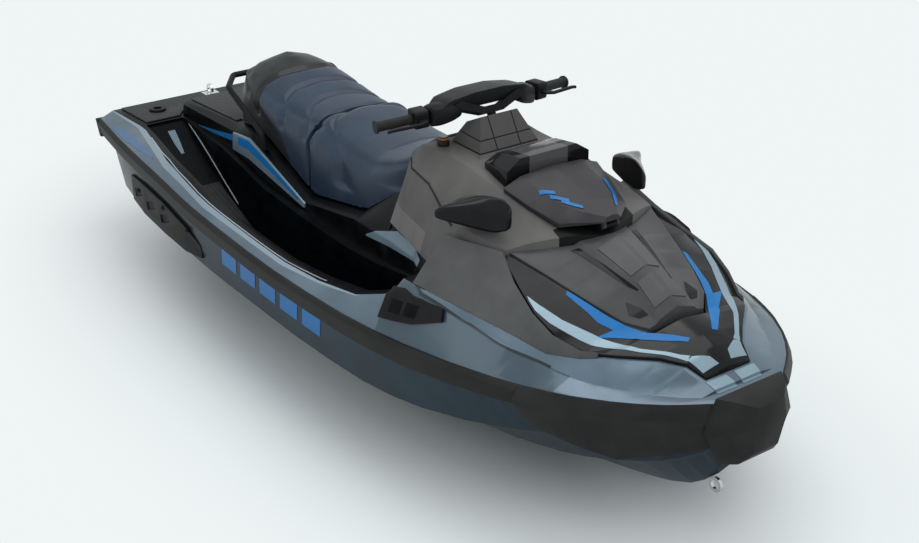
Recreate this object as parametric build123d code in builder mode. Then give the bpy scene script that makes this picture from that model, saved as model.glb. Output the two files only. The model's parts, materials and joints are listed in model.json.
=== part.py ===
"""Three-seat touring personal watercraft with a jet drive.

Frame: +X forward to the bow, +Y to port, +Z up, millimetres. The origin is amidships on the
centre plane at the floating waterline. Heights in the tables are above the keel's base line.
"""

import os
from collections import namedtuple
from math import cos, radians, sin

from build123d import *

# Floating trim and general clearances
DRAFT = 240
BASE = -DRAFT
SEAM_GAP = 0.6
PANEL_GAP = 2.0
MOVING_GAP = 6.0
PIN_GAP = 0.3

# Lines of the hull and the deck edge: each row is one frame of the boat
Frame = namedtuple("Frame", "x keel_h chine_y chine_h side_y bond_h gun_y gun_h top_y top_h")
LINES = [
    Frame(-1720, 60, 450, 246, 497, 482, 508, 528, 452, 552),
    Frame(-1440, 8, 497, 226, 530, 470, 541, 518, 440, 552),
    Frame(-1000, 0, 530, 212, 563, 448, 573, 500, 530, 553),
    Frame(-600, 0, 545, 205, 585, 433, 595, 480, 557, 508),
    Frame(0, 0, 550, 205, 602, 430, 611, 476, 564, 492),
    Frame(450, 3, 545, 222, 598, 442, 606, 490, 556, 545),
    Frame(760, 8, 515, 255, 572, 458, 580, 508, 525, 655),
    Frame(1120, 38, 415, 318, 495, 485, 504, 530, 437, 600),
    Frame(1290, 78, 335, 360, 430, 498, 440, 540, 378, 568),
    Frame(1450, 140, 235, 410, 335, 512, 345, 550, 282, 558),
    Frame(1560, 235, 140, 445, 235, 523, 245, 556, 190, 559),
    Frame(1640, 345, 62, 478, 130, 530, 140, 561, 100, 562),
]
STATION_X = [-1705, -1600, -1440, -1380, -1220, -1000, -800, -690, -600, -400, -200, 0, 225, 450,
             600, 640, 760, 940, 1045, 1120, 1205, 1290, 1345, 1370, 1450, 1505, 1560, 1600, 1640]
STERN_X = STATION_X[0]
TRANSOM_X = STATION_X[1]
RAIL_END_X = 1205
STRAKE_PLACE = 0.52
STRAKE_FLAT = 0.06
CHINE_FLAT = 0.07

# Rub rail and bumpers
RAIL_BOTTOM = 38
RAIL_DEPTH = 18
RAIL_LIP = 9
RAIL_BEVEL = 16
STERN_DEPTH = 20
BUMPER_DEPTH = 34
BUMPER_BEVEL = 40
BowEdge = namedtuple("BowEdge", "x low_h")
BOW_EDGE = [BowEdge(RAIL_END_X, 392), BowEdge(1450, 345), BowEdge(STATION_X[-1], 408)]
Nose = namedtuple("Nose", "x top_y top_h out_y out_h low_y low_h")
NOSE = [
    Nose(STATION_X[-1] + SEAM_GAP, 132, 574, 168, 474, 100, 345),
    Nose(1692, 96, 572, 128, 480, 72, 362),
    Nose(1728, 50, 556, 70, 490, 46, 408),
]

# Sponsons on the hull's after sides
Sponson = namedtuple("Sponson", "x depth low_h high_h")
SPONSON = [
    Sponson(-1380, 24, 262, 372),
    Sponson(-1220, 34, 252, 385),
    Sponson(-1000, 34, 246, 380),
    Sponson(-800, 30, 242, 350),
    Sponson(-690, 8, 245, 300),
]
SPONSON_SLOT_X = (-1290, -1140, -990)
SPONSON_SLOT = (96, 34, 10)

# Footwells: each row is one frame of the starboard well, widths from the centre plane
Well = namedtuple("Well", "x outer_y floor_out_y floor_h floor_in_y inner_y")
WELLS = [
    Well(-1440, 425, 415, 540, 245, 240),
    Well(-1000, 520, 470, 405, 300, 262),
    Well(-600, 546, 488, 300, 335, 286),
    Well(0, 552, 492, 280, 345, 302),
    Well(450, 530, 476, 285, 350, 335),
    Well(585, 505, 462, 318, 372, 378),
]
WELL_TOP_H = max(f.top_h for f in LINES) + 100
Pedestal = namedtuple("Pedestal", "x foot_y foot_h shoulder_y shoulder_h top_y top_h")
PEDESTAL = [
    Pedestal(-1500, 212, 530, 210, 553, 196, 555),
    Pedestal(-1462, 236, 530, 226, 600, 200, 615),
    Pedestal(-950, 264, 440, 248, 628, 205, 644),
    Pedestal(-800, 273, 400, 252, 645, 210, 660),
    Pedestal(-350, 293, 380, 272, 525, 236, 540),
    Pedestal(0, 302, 380, 280, 583, 236, 598),
    Pedestal(244, 318, 380, 300, 600, 236, 760),
    Pedestal(246, 318, 380, 300, 600, 270, 660),
    Pedestal(450, 335, 380, 330, 615, 310, 660),
    Pedestal(640, 400, 380, 420, 635, 400, 660),
]
Plateau = namedtuple("Plateau", "x y h")
PLATEAU = [
    Plateau(640, 495, 660),
    Plateau(760, 500, 668),
    Plateau(940, 465, 652),
    Plateau(1120, 415, 625),
    Plateau(1205, 385, 605),
    Plateau(1290, 330, 608),
    Plateau(1345, 294, 622),
    Plateau(1370, 275, 624),
    Plateau(1450, 180, 620),
    Plateau(1505, 125, 606),
    Plateau(1560, 100, 580),
    Plateau(1600, 88, 568),
]
PLUG_FLOOR = 28
PLUG_HALF_WIDTH = 508
PLUG_TOP_H = 480
MAT_THICKNESS = 6
MAT_INSET = 9

# Engine and jet drive, from the pump's front flange aft
ENGINE_X = (-280, 340)
ENGINE_HALF_WIDTH = 190
ENGINE_H = (100, 490)
PUMP_H = 185
PUMP_BORE_R = 80
PUMP_WALL = 13
FLANGE = 11
FLANGE_THICKNESS = 14
PUMP_FRONT_X = -1236
PUMP_LENGTH = 214
CONE_LENGTH = 60
SPOUT_LENGTH = 65
PUMP_REAR_X = PUMP_FRONT_X - PUMP_LENGTH
PLUG_X = (PUMP_FRONT_X + 36, 640)
SPOUT_X = PUMP_REAR_X - CONE_LENGTH
VENTURI_X = SPOUT_X - SPOUT_LENGTH
VENTURI_BORE_R = 48
VENTURI_WALL = 9
TUNNEL_HALF_WIDTH = 150
TUNNEL_TOP_H = 400
SHAFT_R = 12
HUB_R = 28
BLADE_COUNT = 4
BLADE_LENGTH = 84
BLADE_THICKNESS = 5
BLADE_ROOT_PITCH = 56
BLADE_TIP_PITCH = 30
TIP_GAP = 0.8
HUB_LENGTH = 110
VANE_COUNT = 7
VANE_LENGTH = 46
NOZZLE_PIVOT_X = VENTURI_X + 12
NOZZLE_AHEAD = 20
NOZZLE_ASTERN = 97
NOZZLE_FRONT_R = 74
NOZZLE_REAR_R = 52
NOZZLE_WALL = 6
PIVOT_PIN_R = 6
BUCKET_PIVOT_X = NOZZLE_PIVOT_X + 68
BUCKET_INNER_R = 198
BUCKET_WALL = 8
BUCKET_START = 30
BUCKET_SPAN = 38
BUCKET_HALF_WIDTH = 112
BUCKET_PIN_R = 8
BUCKET_BOSS = 8
RIDE_PLATE_H = 62
RIDE_PLATE_THICKNESS = 14
INTAKE_HALF_WIDTH = 85
INTAKE_LENGTH = 400
INTAKE_REAR_X = PUMP_FRONT_X + 276
GRATE_LENGTH = 300
GRATE_H = 36
GRATE_THICKNESS = 12
GRATE_SLOT = 26
GRATE_PITCH = 40

# Front upperworks, aft to forward
Console = namedtuple("Console", "x low_y wall_y wall_h top_y top_h")
CONSOLE = [
    Console(250, 288, 226, 800, 190, 896),
    Console(330, 306, 243, 886, 204, 948),
    Console(450, 335, 268, 868, 190, 945),
    Console(550, 360, 288, 850, 190, 940),
    Console(640, 380, 312, 830, 200, 935),
    Console(760, 385, 322, 812, 192, 908),
    Console(940, 350, 288, 797, 145, 845),
    Console(1045, 320, 250, 780, 60, 822),
]
Lid = namedtuple("Lid", "x edge_y low_h edge_h mid_y mid_h crown_h")
LID = [
    Lid(752, 192, 912, 926, 125, 950, 958),
    Lid(850, 170, 880, 894, 110, 926, 936),
    Lid(957, 136, 850, 863, 85, 897, 907),
    Lid(1045, 36, 869, 874, 20, 886, 890),
]
SEAM = [(1045, 0), (1000, 100), (905, 300), (850, 430)]
Hood = namedtuple("Hood", "x centre_h in_y in_h lip_y lip_h edge_y edge_h")
HOOD = [
    Hood(900, 782, 290, 781, 297, 788, 306, 780),
    Hood(940, 771, 279, 770, 286, 778, 317, 766),
    Hood(1045, 742, 248, 741, 255, 751, 345, 727),
    Hood(1120, 720, 226, 719, 233, 729, 358, 694),
    Hood(1205, 693, 198, 692, 205, 702, 348, 652),
    Hood(1290, 663, 163, 662, 170, 672, 308, 624),
    Hood(1345, 645, 108, 644, 116, 654, 280, 632),
    Hood(1370, 674, 85, 662, 110, 653, 262, 634),
    Hood(1450, 657, 70, 647, 90, 643, 168, 631),
    Hood(1505, 634, 55, 628, 70, 625, 112, 616),
    Hood(1560, 598, 45, 594, 60, 592, 88, 588),
]
Panel = namedtuple("Panel", "x wing_y wing_h valley_y valley_h ridge_y ridge_h crown_h")
PANEL = [
    Panel(900, 294, 797, 128, 818, 112, 830, 848),
    Panel(940, 282, 786, 120, 811, 105, 823, 843),
    Panel(1045, 250, 757, 100, 793, 86, 806, 830),
    Panel(1120, 228, 735, 92, 769, 78, 782, 808),
    Panel(1205, 200, 708, 82, 739, 68, 752, 778),
    Panel(1290, 165, 678, 82, 699, 68, 712, 738),
    Panel(1343, 110, 660, 84, 666, 72, 678, 702),
]
PLATE_THICKNESS = 14
Shroud = namedtuple("Shroud", "x low_y top_y top_h inner_y inner_h")
SHROUD = [
    Shroud(690, 496, 376, 800, 345, 792),
    Shroud(760, 496, 364, 800, 340, 792),
    Shroud(905, 468, 313, 800, 305, 792),
    Shroud(940, 460, 325, 781, 319, 773),
    Shroud(1000, 445, 345, 748, 339, 740),
    Shroud(1120, 412, 370, 702, 364, 694),
    Shroud(1205, 382, 360, 660, 354, 652),
    Shroud(1290, 327, 320, 631, 314, 624),
    Shroud(1330, 301, 297, 637, 293, 630),
]
BIN_X = (772, 930)
BIN_HALF_WIDTH = 112
BIN_FLOOR_H = 690
GLOVE_X = (264, 320)
GLOVE_HALF_WIDTH = 120
GLOVE_FLOOR_H = 800
GLOVE_LID = (86, 290, 9)
HINGE_PIN_R = 4
HINGE_R = 7
HINGE_SETBACK = 6
HINGE_DROP = 14
TONGUE_HALF_WIDTH = 20
LUG_HALF_WIDTH = 5
Pod = namedtuple("Pod", "x top_y top_h out_y out_h")
POD = [Pod(600, 100, 978, 150, 956), Pod(640, 110, 992, 160, 964), Pod(738, 114, 1002, 168, 968)]
SCREEN = (150, 26, 5)
Mirror = namedtuple("Mirror", "x in_y out_y out_low_h out_top_h in_top_h")
MIRROR = [
    Mirror(700, 300, 428, 870, 899, 911),
    Mirror(760, 282, 376, 852, 908, 936),
    Mirror(882, 262, 291, 826, 906, 955),
]
GLASS_INSET = 9
GLASS_DEPTH = 5

# Steering
COLUMN_TILT = 25
COLUMN_X = 440
COLUMN_RISE = 90
COLUMN_H = max(row.top_h for row in CONSOLE) + COLUMN_RISE
NECK_BASE = (455, COLUMN_H - 130, 215, 280)
NECK_TOP = (84, 150)
STEM_R = 15
STEM_LENGTH = 100
YOKE = [(38, 8), (126, 40), (142, 60), (114, 64), (34, 32)]
YOKE_HALF_DEPTH = 20
PAD_LENGTH = 112
PAD_WIDTH = 300
PAD_HEIGHT = 30
PAD_SETBACK = 48
PAD_TAPER = 26
BAR_R = 11
BAR_BEND_R = 25
GRIP_R = 17
GRIP_LENGTH = 125
GRIP_FLANGE = 8
BAR_PATH = [(339, 390, COLUMN_H + 11), (374, 208, COLUMN_H + 23), (418, 122, COLUMN_H + 46)]
HOUSING = (66, 60, 46)

# Seats
Seat = namedtuple("Seat", "x base_y hip_y hip_h edge_y edge_h top_y top_h crown_h")
DRIVER_SEAT = [
    Seat(238, 172, 186, 838, 176, 872, 132, 892, 898),
    Seat(120, 205, 206, 780, 188, 822, 134, 844, 851),
    Seat(0, 228, 218, 735, 192, 786, 136, 810, 818),
    Seat(-150, 234, 226, 730, 193, 790, 136, 815, 822),
    Seat(-270, 236, 231, 740, 190, 812, 136, 838, 846),
    Seat(-350, 236, 233, 750, 184, 828, 138, 850, 859),
    Seat(-396, 236, 233, 750, 178, 814, 134, 834, 843),
]
PASSENGER_SEAT = [
    Seat(-400, 236, 233, 752, 178, 812, 134, 832, 841),
    Seat(-560, 224, 229, 762, 184, 822, 132, 845, 854),
    Seat(-700, 213, 225, 782, 187, 840, 124, 872, 884),
    Seat(-800, 209, 221, 797, 182, 855, 114, 893, 912),
    Seat(-866, 206, 216, 802, 179, 860, 106, 903, 933),
    Seat(-930, 202, 206, 797, 173, 866, 100, 905, 935),
    Seat(-1000, 190, 186, 772, 156, 866, 98, 890, 904),
    Seat(-1030, 180, 166, 740, 142, 826, 94, 850, 860),
]
GRAB_R = 12
GRAB_FOOT = (-690, 246)
GRAB_PATH = [(-705, 253, 692), (-985, 242, 806), (-1075, 172, 820)]

# Fittings
ANCHOR_X = -1572
ANCHOR_Y = 300
ANCHOR_R = 34
ANCHOR_BORE_R = 18
ANCHOR_HEIGHT = 16
ANCHOR_FLOOR = 4
EYE_R = 15
EYE_WIRE_R = 5
EYE_PLATE = 5
TOW_X = -1660
STERN_EYE_Y = 330
STERN_EYE_H = 380
VENT_X = (640, 760)
VENT_DEPTH = 11
ACCENT_DROP = (70, 85, 18)
ACCENT_DEPTH = 8


def slope(points, i):
    """Slope of a fair line at knot i: the harmonic mean of its two neighbours' slopes."""
    if i in (0, len(points) - 1):
        a, b = (0, 1) if i == 0 else (-2, -1)
        return (points[b][1] - points[a][1]) / (points[b][0] - points[a][0])
    before = (points[i][1] - points[i - 1][1]) / (points[i][0] - points[i - 1][0])
    after = (points[i + 1][1] - points[i][1]) / (points[i + 1][0] - points[i][0])
    return 0 if before * after <= 0 else 2 * before * after / (before + after)


def fair(rows, x):
    """The row of a lines table at x, with each column faired by a monotone cubic."""
    i = max(0, min(len(rows) - 2, sum(row.x <= x for row in rows) - 1))
    span = rows[i + 1].x - rows[i].x
    t = (x - rows[i].x) / span
    values = []
    for column in range(1, len(rows[0])):
        points = [(row.x, row[column]) for row in rows]
        a, b = points[i][1], points[i + 1][1]
        ma, mb = slope(points, i) * span, slope(points, i + 1) * span
        values.append((2 * t**3 - 3 * t**2 + 1) * a + (t**3 - 2 * t**2 + t) * ma
                      + (3 * t**2 - 2 * t**3) * b + (t**3 - t**2) * mb)
    return type(rows[0])(x, *values)


def ruled(rows, x):
    """The row of a table at x, straight between its neighbours as in a ruled loft."""
    i = max(0, min(len(rows) - 2, sum(row.x <= x for row in rows) - 1))
    t = (x - rows[i].x) / (rows[i + 1].x - rows[i].x)
    return type(rows[0])(x, *[a + (b - a) * t for a, b in zip(rows[i][1:], rows[i + 1][1:])])


def frame_plane(x):
    """Cross-section at x: sketch X runs to port, sketch Y is the height above the keel."""
    return Plane(origin=(x, 0, BASE), x_dir=(0, 1, 0), z_dir=(1, 0, 0))


def side_plane(y):
    """Fore-and-aft plane at y: sketch X runs forward, sketch Y is the height above the keel."""
    return Plane(origin=(0, y, BASE), x_dir=(1, 0, 0), z_dir=(0, -1, 0))


def level(h):
    """Horizontal plane at a height above the keel."""
    return Plane.XY.offset(BASE + h)


def both_sides(starboard):
    """A symmetric outline from its points on the +Y side, listed from top to bottom."""
    return list(starboard) + [(-y, h) for y, h in reversed(starboard) if y > 0]


def add_loft(sections, mode=Mode.ADD):
    """Adds a ruled loft through closed outlines, each an (x, points) pair, to the current part."""
    faces = []
    for x, points in sections:
        with BuildSketch(frame_plane(x)) as section:
            with BuildLine():
                Polyline(*points, close=True)
            make_face()
        faces.append(section.sketch.face())
    loft(sections=faces, ruled=True, mode=mode)


def deck_top(x):
    """Height of the deck's middle under the upperworks at x."""
    return ruled(PEDESTAL, x).top_h if x < PLATEAU[0].x else ruled(PLATEAU, x).h


def write(part, name):
    """Labels a finished piece and writes its STEP file."""
    part.part.label = name
    export_step(part.part, f"parts/{name}.step")


os.makedirs("parts", exist_ok=True)


# Hull: the vee bottom with one lifting strake a side, up to the bond flange
def hull_outline(f):
    rise = f.chine_h - f.keel_h
    strake_h = f.keel_h + rise * STRAKE_PLACE * 0.92
    return both_sides([
        (f.side_y, f.bond_h),
        (f.chine_y, f.chine_h),
        (f.chine_y * (1 - CHINE_FLAT), f.chine_h - rise * 0.02),
        (f.chine_y * (STRAKE_PLACE + STRAKE_FLAT), strake_h + rise * 0.01),
        (f.chine_y * STRAKE_PLACE, strake_h),
        (0, f.keel_h),
    ])


plug_floor_h = min(well.floor_h for well in WELLS) - PLUG_FLOOR
intake_front_x = INTAKE_REAR_X + INTAKE_LENGTH
with BuildPart() as hull:
    add_loft([(x, hull_outline(fair(LINES, x))) for x in STATION_X if x >= TRANSOM_X])
    # Pocket for the deck's footwell moulding
    with BuildSketch(level(plug_floor_h - PANEL_GAP)):
        with Locations((sum(PLUG_X) / 2, 0)):
            Rectangle(PLUG_X[1] - PLUG_X[0] + 2 * PANEL_GAP, 2 * (PLUG_HALF_WIDTH + PANEL_GAP))
    extrude(amount=WELL_TOP_H, mode=Mode.SUBTRACT)
    # Engine bay
    with BuildSketch(level(ENGINE_H[0])):
        with Locations((sum(ENGINE_X) / 2, 0)):
            Rectangle(ENGINE_X[1] - ENGINE_X[0] + 2 * SEAM_GAP, 2 * (ENGINE_HALF_WIDTH + SEAM_GAP))
    extrude(amount=WELL_TOP_H, mode=Mode.SUBTRACT)
    # Pump tunnel, open below and aft
    with BuildSketch(level(-1)):
        with Locations(((TRANSOM_X - 10 + PUMP_FRONT_X + SEAM_GAP) / 2, 0)):
            Rectangle(PUMP_FRONT_X + SEAM_GAP - TRANSOM_X + 10, 2 * TUNNEL_HALF_WIDTH)
    extrude(amount=TUNNEL_TOP_H + 1, mode=Mode.SUBTRACT)
    # Intake duct rising aft from the bottom to the pump
    with BuildSketch(side_plane(0)):
        with BuildLine():
            Polyline((intake_front_x, -1), (INTAKE_REAR_X - PUMP_BORE_R, PUMP_H + PUMP_BORE_R),
                     (PUMP_FRONT_X, PUMP_H + PUMP_BORE_R), (PUMP_FRONT_X, PUMP_H - PUMP_BORE_R),
                     (INTAKE_REAR_X - INTAKE_LENGTH * 0.3, PUMP_H - 1.5 * PUMP_BORE_R), (INTAKE_REAR_X, -1),
                     close=True)
        make_face()
    extrude(amount=INTAKE_HALF_WIDTH, both=True, mode=Mode.SUBTRACT)
    # Clear way for the drive shaft
    with BuildSketch(frame_plane(INTAKE_REAR_X)):
        with Locations((0, PUMP_H)):
            Circle(SHAFT_R + MOVING_GAP)
    extrude(amount=ENGINE_X[0] - INTAKE_REAR_X, mode=Mode.SUBTRACT)
write(hull, "hull")


# Deck: gunwales, footwells, seat pedestal and boarding platform in one moulding
def deck_outline(f):
    return both_sides([(f.top_y, f.top_h), (f.gun_y, f.gun_h), (f.side_y, f.bond_h + SEAM_GAP)])


def well_outline(well, side):
    return [(side * y, h) for y, h in (
        (well.outer_y, WELL_TOP_H), (well.floor_out_y, well.floor_h), (well.floor_in_y, well.floor_h),
        (well.inner_y, WELL_TOP_H))]


def pedestal_outline(p):
    return both_sides([(p.top_y, p.top_h), (p.shoulder_y, p.shoulder_h), (p.foot_y, p.foot_h)])


def plateau_outline(p):
    f = fair(LINES, p.x)
    skirt_y = f.top_y - SEAM_GAP
    return both_sides([(p.y, p.h), (skirt_y, f.top_h - SEAM_GAP), (skirt_y, f.bond_h + SEAM_GAP)])


with BuildPart() as deck:
    add_loft([(x, deck_outline(fair(LINES, x))) for x in STATION_X])
    with BuildSketch(level(plug_floor_h)):
        with Locations((sum(PLUG_X) / 2, 0)):
            Rectangle(PLUG_X[1] - PLUG_X[0], 2 * PLUG_HALF_WIDTH)
    extrude(amount=PLUG_TOP_H - plug_floor_h)
    for side in (1, -1):
        add_loft([(well.x, well_outline(well, side)) for well in WELLS], Mode.SUBTRACT)
    add_loft([(p.x, pedestal_outline(p)) for p in PEDESTAL])
    add_loft([(p.x, plateau_outline(p)) for p in PLATEAU])
    # Engine bay under the seat
    with BuildSketch(level(plug_floor_h)):
        with Locations((sum(ENGINE_X) / 2, 0)):
            Rectangle(ENGINE_X[1] - ENGINE_X[0] + 2 * SEAM_GAP, 2 * (ENGINE_HALF_WIDTH + SEAM_GAP))
    extrude(amount=ENGINE_H[1] - plug_floor_h + MOVING_GAP, mode=Mode.SUBTRACT)
write(deck, "deck")


# Rub rail: black extrusion over the bond line, carried round the stern
def rail_outline(f, side):
    low_h = f.bond_h - RAIL_BOTTOM
    low_y = f.side_y - (f.side_y - f.chine_y) * RAIL_BOTTOM / (f.bond_h - f.chine_h)
    return [(side * y, h) for y, h in (
        (f.gun_y + SEAM_GAP, f.gun_h), (f.gun_y + RAIL_LIP, f.gun_h),
        (f.gun_y + RAIL_DEPTH, f.gun_h - RAIL_BEVEL), (f.side_y + RAIL_DEPTH, low_h + RAIL_BEVEL),
        (low_y + RAIL_LIP, low_h), (low_y + SEAM_GAP, low_h), (f.side_y + SEAM_GAP, f.bond_h))]


stern = fair(LINES, STERN_X)
with BuildPart() as rub_rail:
    for side in (1, -1):
        add_loft([(x, rail_outline(fair(LINES, x), side)) for x in STATION_X if x <= RAIL_END_X])
    with BuildSketch(frame_plane(STERN_X - SEAM_GAP)):
        with BuildLine():
            Polyline(*both_sides([(stern.gun_y + RAIL_DEPTH, stern.gun_h - 2),
                                  (stern.side_y + RAIL_DEPTH, stern.bond_h - RAIL_BOTTOM)]), close=True)
        make_face()
    extrude(amount=-STERN_DEPTH + SEAM_GAP)
    with BuildSketch(frame_plane(STERN_X)):
        for side in (1, -1):
            with BuildLine():
                Polyline(*rail_outline(stern, side), close=True)
            make_face()
    extrude(amount=-SEAM_GAP)
write(rub_rail, "rub_rail")


# Bow bumper: black moulding round the bow, deeper than the rail
def bumper_outline(f, side):
    lean = (f.side_y - f.chine_y) / (f.bond_h - f.chine_h)
    return [(side * y, h) for y, h in (
        (f.gun_y + SEAM_GAP, f.gun_h), (f.gun_y + RAIL_LIP, f.gun_h + 2),
        (f.gun_y + BUMPER_DEPTH, f.gun_h - BUMPER_BEVEL), (f.side_y + BUMPER_DEPTH - 6, f.bond_h - 30),
        (f.side_y - 20, ruled(BOW_EDGE, f.x).low_h), (f.chine_y + 4 * lean + SEAM_GAP, f.chine_h + 4),
        (f.side_y + SEAM_GAP, f.bond_h))]


bow_x = [x for x in STATION_X if x >= RAIL_END_X]
with BuildPart() as bow_bumper:
    for side in (1, -1):
        sections = [(x + PANEL_GAP * (x == RAIL_END_X), bumper_outline(fair(LINES, x), side)) for x in bow_x]
        add_loft(sections + [(NOSE[0].x, sections[-1][1])])
    add_loft([(n.x, both_sides([(n.top_y, n.top_h), (n.out_y, n.out_h), (n.low_y, n.low_h)])) for n in NOSE])
write(bow_bumper, "bow_bumper")


# Sponsons: bolted black wings on the hull's after sides, each with three slanted recesses
def sponson_foot(s):
    f = fair(LINES, s.x)
    lean = (f.side_y - f.chine_y) / (f.bond_h - f.chine_h)
    return f.chine_y + (s.low_h - f.chine_h) * lean, f.chine_y + (s.high_h - f.chine_h) * lean


def sponson_outline(s, side):
    low_y, high_y = sponson_foot(s)
    return [(side * y, h) for y, h in (
        (high_y + SEAM_GAP, s.high_h), (high_y + s.depth * 0.4, s.high_h), (low_y + s.depth, s.low_h + 30),
        (low_y + s.depth, s.low_h), (low_y + SEAM_GAP, s.low_h))]


for name, side in (("starboard", -1), ("port", 1)):
    with BuildPart() as sponson:
        add_loft([(s.x, sponson_outline(s, side)) for s in SPONSON])
        for x in SPONSON_SLOT_X:
            s = ruled(SPONSON, x)
            face_y = sponson_foot(s)[0] + s.depth
            with BuildSketch(side_plane(side * (face_y - SPONSON_SLOT[2]))):
                with Locations((x, s.low_h + 2 * SPONSON_SLOT[1])):
                    Rectangle(SPONSON_SLOT[0], SPONSON_SLOT[1], rotation=20)
            extrude(amount=-side * SPONSON_SLOT[0], mode=Mode.SUBTRACT)
    write(sponson, f"sponson_{name}")


# Engine: one plain block in its bay
with BuildPart() as engine:
    with BuildSketch(level(ENGINE_H[0] + SEAM_GAP)):
        with Locations((sum(ENGINE_X) / 2, 0)):
            Rectangle(ENGINE_X[1] - ENGINE_X[0], 2 * ENGINE_HALF_WIDTH)
    extrude(amount=ENGINE_H[1] - ENGINE_H[0])
write(engine, "engine")


# Jet pump: housing, stator and venturi turned about the shaft line
shaft_axis = Axis((0, 0, BASE + PUMP_H), (1, 0, 0))
pump_r = PUMP_BORE_R + PUMP_WALL
with BuildPart() as jet_pump:
    with BuildSketch(side_plane(0)):
        with BuildLine():
            Polyline((PUMP_FRONT_X, PUMP_H + PUMP_BORE_R), (PUMP_REAR_X, PUMP_H + PUMP_BORE_R),
                     (SPOUT_X, PUMP_H + VENTURI_BORE_R), (VENTURI_X, PUMP_H + VENTURI_BORE_R),
                     (VENTURI_X, PUMP_H + VENTURI_BORE_R + VENTURI_WALL),
                     (SPOUT_X, PUMP_H + VENTURI_BORE_R + VENTURI_WALL),
                     (PUMP_REAR_X - PUMP_WALL, PUMP_H + pump_r),
                     (PUMP_FRONT_X - FLANGE_THICKNESS, PUMP_H + pump_r),
                     (PUMP_FRONT_X - FLANGE_THICKNESS, PUMP_H + pump_r + FLANGE),
                     (PUMP_FRONT_X, PUMP_H + pump_r + FLANGE), close=True)
        make_face()
    revolve(axis=shaft_axis)
    # Stator hub and vanes behind the impeller
    with BuildSketch(frame_plane(PUMP_REAR_X + VANE_LENGTH)):
        with Locations((0, PUMP_H)):
            Circle(HUB_R)
            Circle(SHAFT_R + PIN_GAP, mode=Mode.SUBTRACT)
    extrude(amount=-2 * VANE_LENGTH)
    with BuildSketch(frame_plane(PUMP_REAR_X)):
        with Locations((0, PUMP_H)):
            with PolarLocations((HUB_R + PUMP_BORE_R) / 2, VANE_COUNT):
                Rectangle(PUMP_BORE_R - HUB_R + 6, BLADE_THICKNESS)
    extrude(amount=VANE_LENGTH)
    # Pins for the nozzle above and below, and for the bucket at each side
    pivot = (NOZZLE_PIVOT_X, 0, BASE + PUMP_H)
    bucket_pivot = (BUCKET_PIVOT_X, 0, BASE + PUMP_H)
    boss_foot = (VENTURI_BORE_R + pump_r) / 2
    for sign in (1, -1):
        with BuildSketch(Plane(origin=pivot, z_dir=(0, 0, sign)).offset(VENTURI_BORE_R + VENTURI_WALL / 2)):
            Circle(PIVOT_PIN_R)
        extrude(amount=NOZZLE_FRONT_R + NOZZLE_WALL + PANEL_GAP - VENTURI_BORE_R - VENTURI_WALL / 2)
        with BuildSketch(Plane(origin=bucket_pivot, z_dir=(0, sign, 0)).offset(boss_foot)):
            Circle(BUCKET_PIN_R + BUCKET_BOSS)
        extrude(amount=BUCKET_HALF_WIDTH - BUCKET_WALL - PANEL_GAP - boss_foot)
        with BuildSketch(Plane(origin=bucket_pivot, z_dir=(0, sign, 0)).offset(boss_foot)):
            Circle(BUCKET_PIN_R)
        extrude(amount=BUCKET_HALF_WIDTH + PANEL_GAP - boss_foot)
write(jet_pump, "jet_pump")


# Impeller on its drive shaft: blades twisted from root to tip
hub_x = PUMP_REAR_X + VANE_LENGTH + MOVING_GAP
with BuildPart() as impeller:
    with BuildSketch(frame_plane(PUMP_REAR_X - VANE_LENGTH + MOVING_GAP)):
        with Locations((0, PUMP_H)):
            Circle(SHAFT_R)
    extrude(amount=ENGINE_X[0] - PANEL_GAP - PUMP_REAR_X + VANE_LENGTH - MOVING_GAP)
    with BuildSketch(frame_plane(hub_x)):
        with Locations((0, PUMP_H)):
            Circle(HUB_R)
    extrude(amount=HUB_LENGTH)
    for i in range(BLADE_COUNT):
        turn = 360 / BLADE_COUNT * i
        blade_plane = Plane(origin=(hub_x + HUB_LENGTH / 2, 0, BASE + PUMP_H)).rotated((turn, 0, 0))
        with BuildSketch(blade_plane.offset(HUB_R * 0.75)):
            Rectangle(BLADE_LENGTH, BLADE_THICKNESS, rotation=BLADE_ROOT_PITCH)
        with BuildSketch(blade_plane.offset(PUMP_BORE_R * 1.1)):
            Rectangle(BLADE_LENGTH, BLADE_THICKNESS, rotation=BLADE_TIP_PITCH)
        loft()
    with BuildSketch(frame_plane(VENTURI_X)):
        with Locations((0, PUMP_H)):
            Circle(PUMP_BORE_R - TIP_GAP)
    extrude(amount=ENGINE_X[0] - VENTURI_X, mode=Mode.INTERSECT)
write(impeller, "impeller")


# Steering nozzle on its two upright pins
with BuildPart() as steering_nozzle:
    with BuildSketch(side_plane(0)):
        with BuildLine():
            front_x, bend_x = NOZZLE_PIVOT_X + NOZZLE_AHEAD, NOZZLE_PIVOT_X - NOZZLE_AHEAD
            rear_x = NOZZLE_PIVOT_X - NOZZLE_ASTERN
            Polyline((front_x, PUMP_H + NOZZLE_FRONT_R), (bend_x, PUMP_H + NOZZLE_FRONT_R),
                     (rear_x, PUMP_H + NOZZLE_REAR_R), (rear_x, PUMP_H + NOZZLE_REAR_R + NOZZLE_WALL),
                     (bend_x, PUMP_H + NOZZLE_FRONT_R + NOZZLE_WALL),
                     (front_x, PUMP_H + NOZZLE_FRONT_R + NOZZLE_WALL), close=True)
        make_face()
    revolve(axis=shaft_axis)
    with BuildSketch(Plane(origin=pivot)):
        Circle(PIVOT_PIN_R + PIN_GAP)
    extrude(amount=NOZZLE_FRONT_R + 2 * NOZZLE_WALL, both=True, mode=Mode.SUBTRACT)
write(steering_nozzle, "steering_nozzle")


# Reverse bucket: curved gate on two cheeks
def polar(radius, angle):
    return (BUCKET_PIVOT_X - radius * cos(radians(angle)), PUMP_H + radius * sin(radians(angle)))


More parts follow.
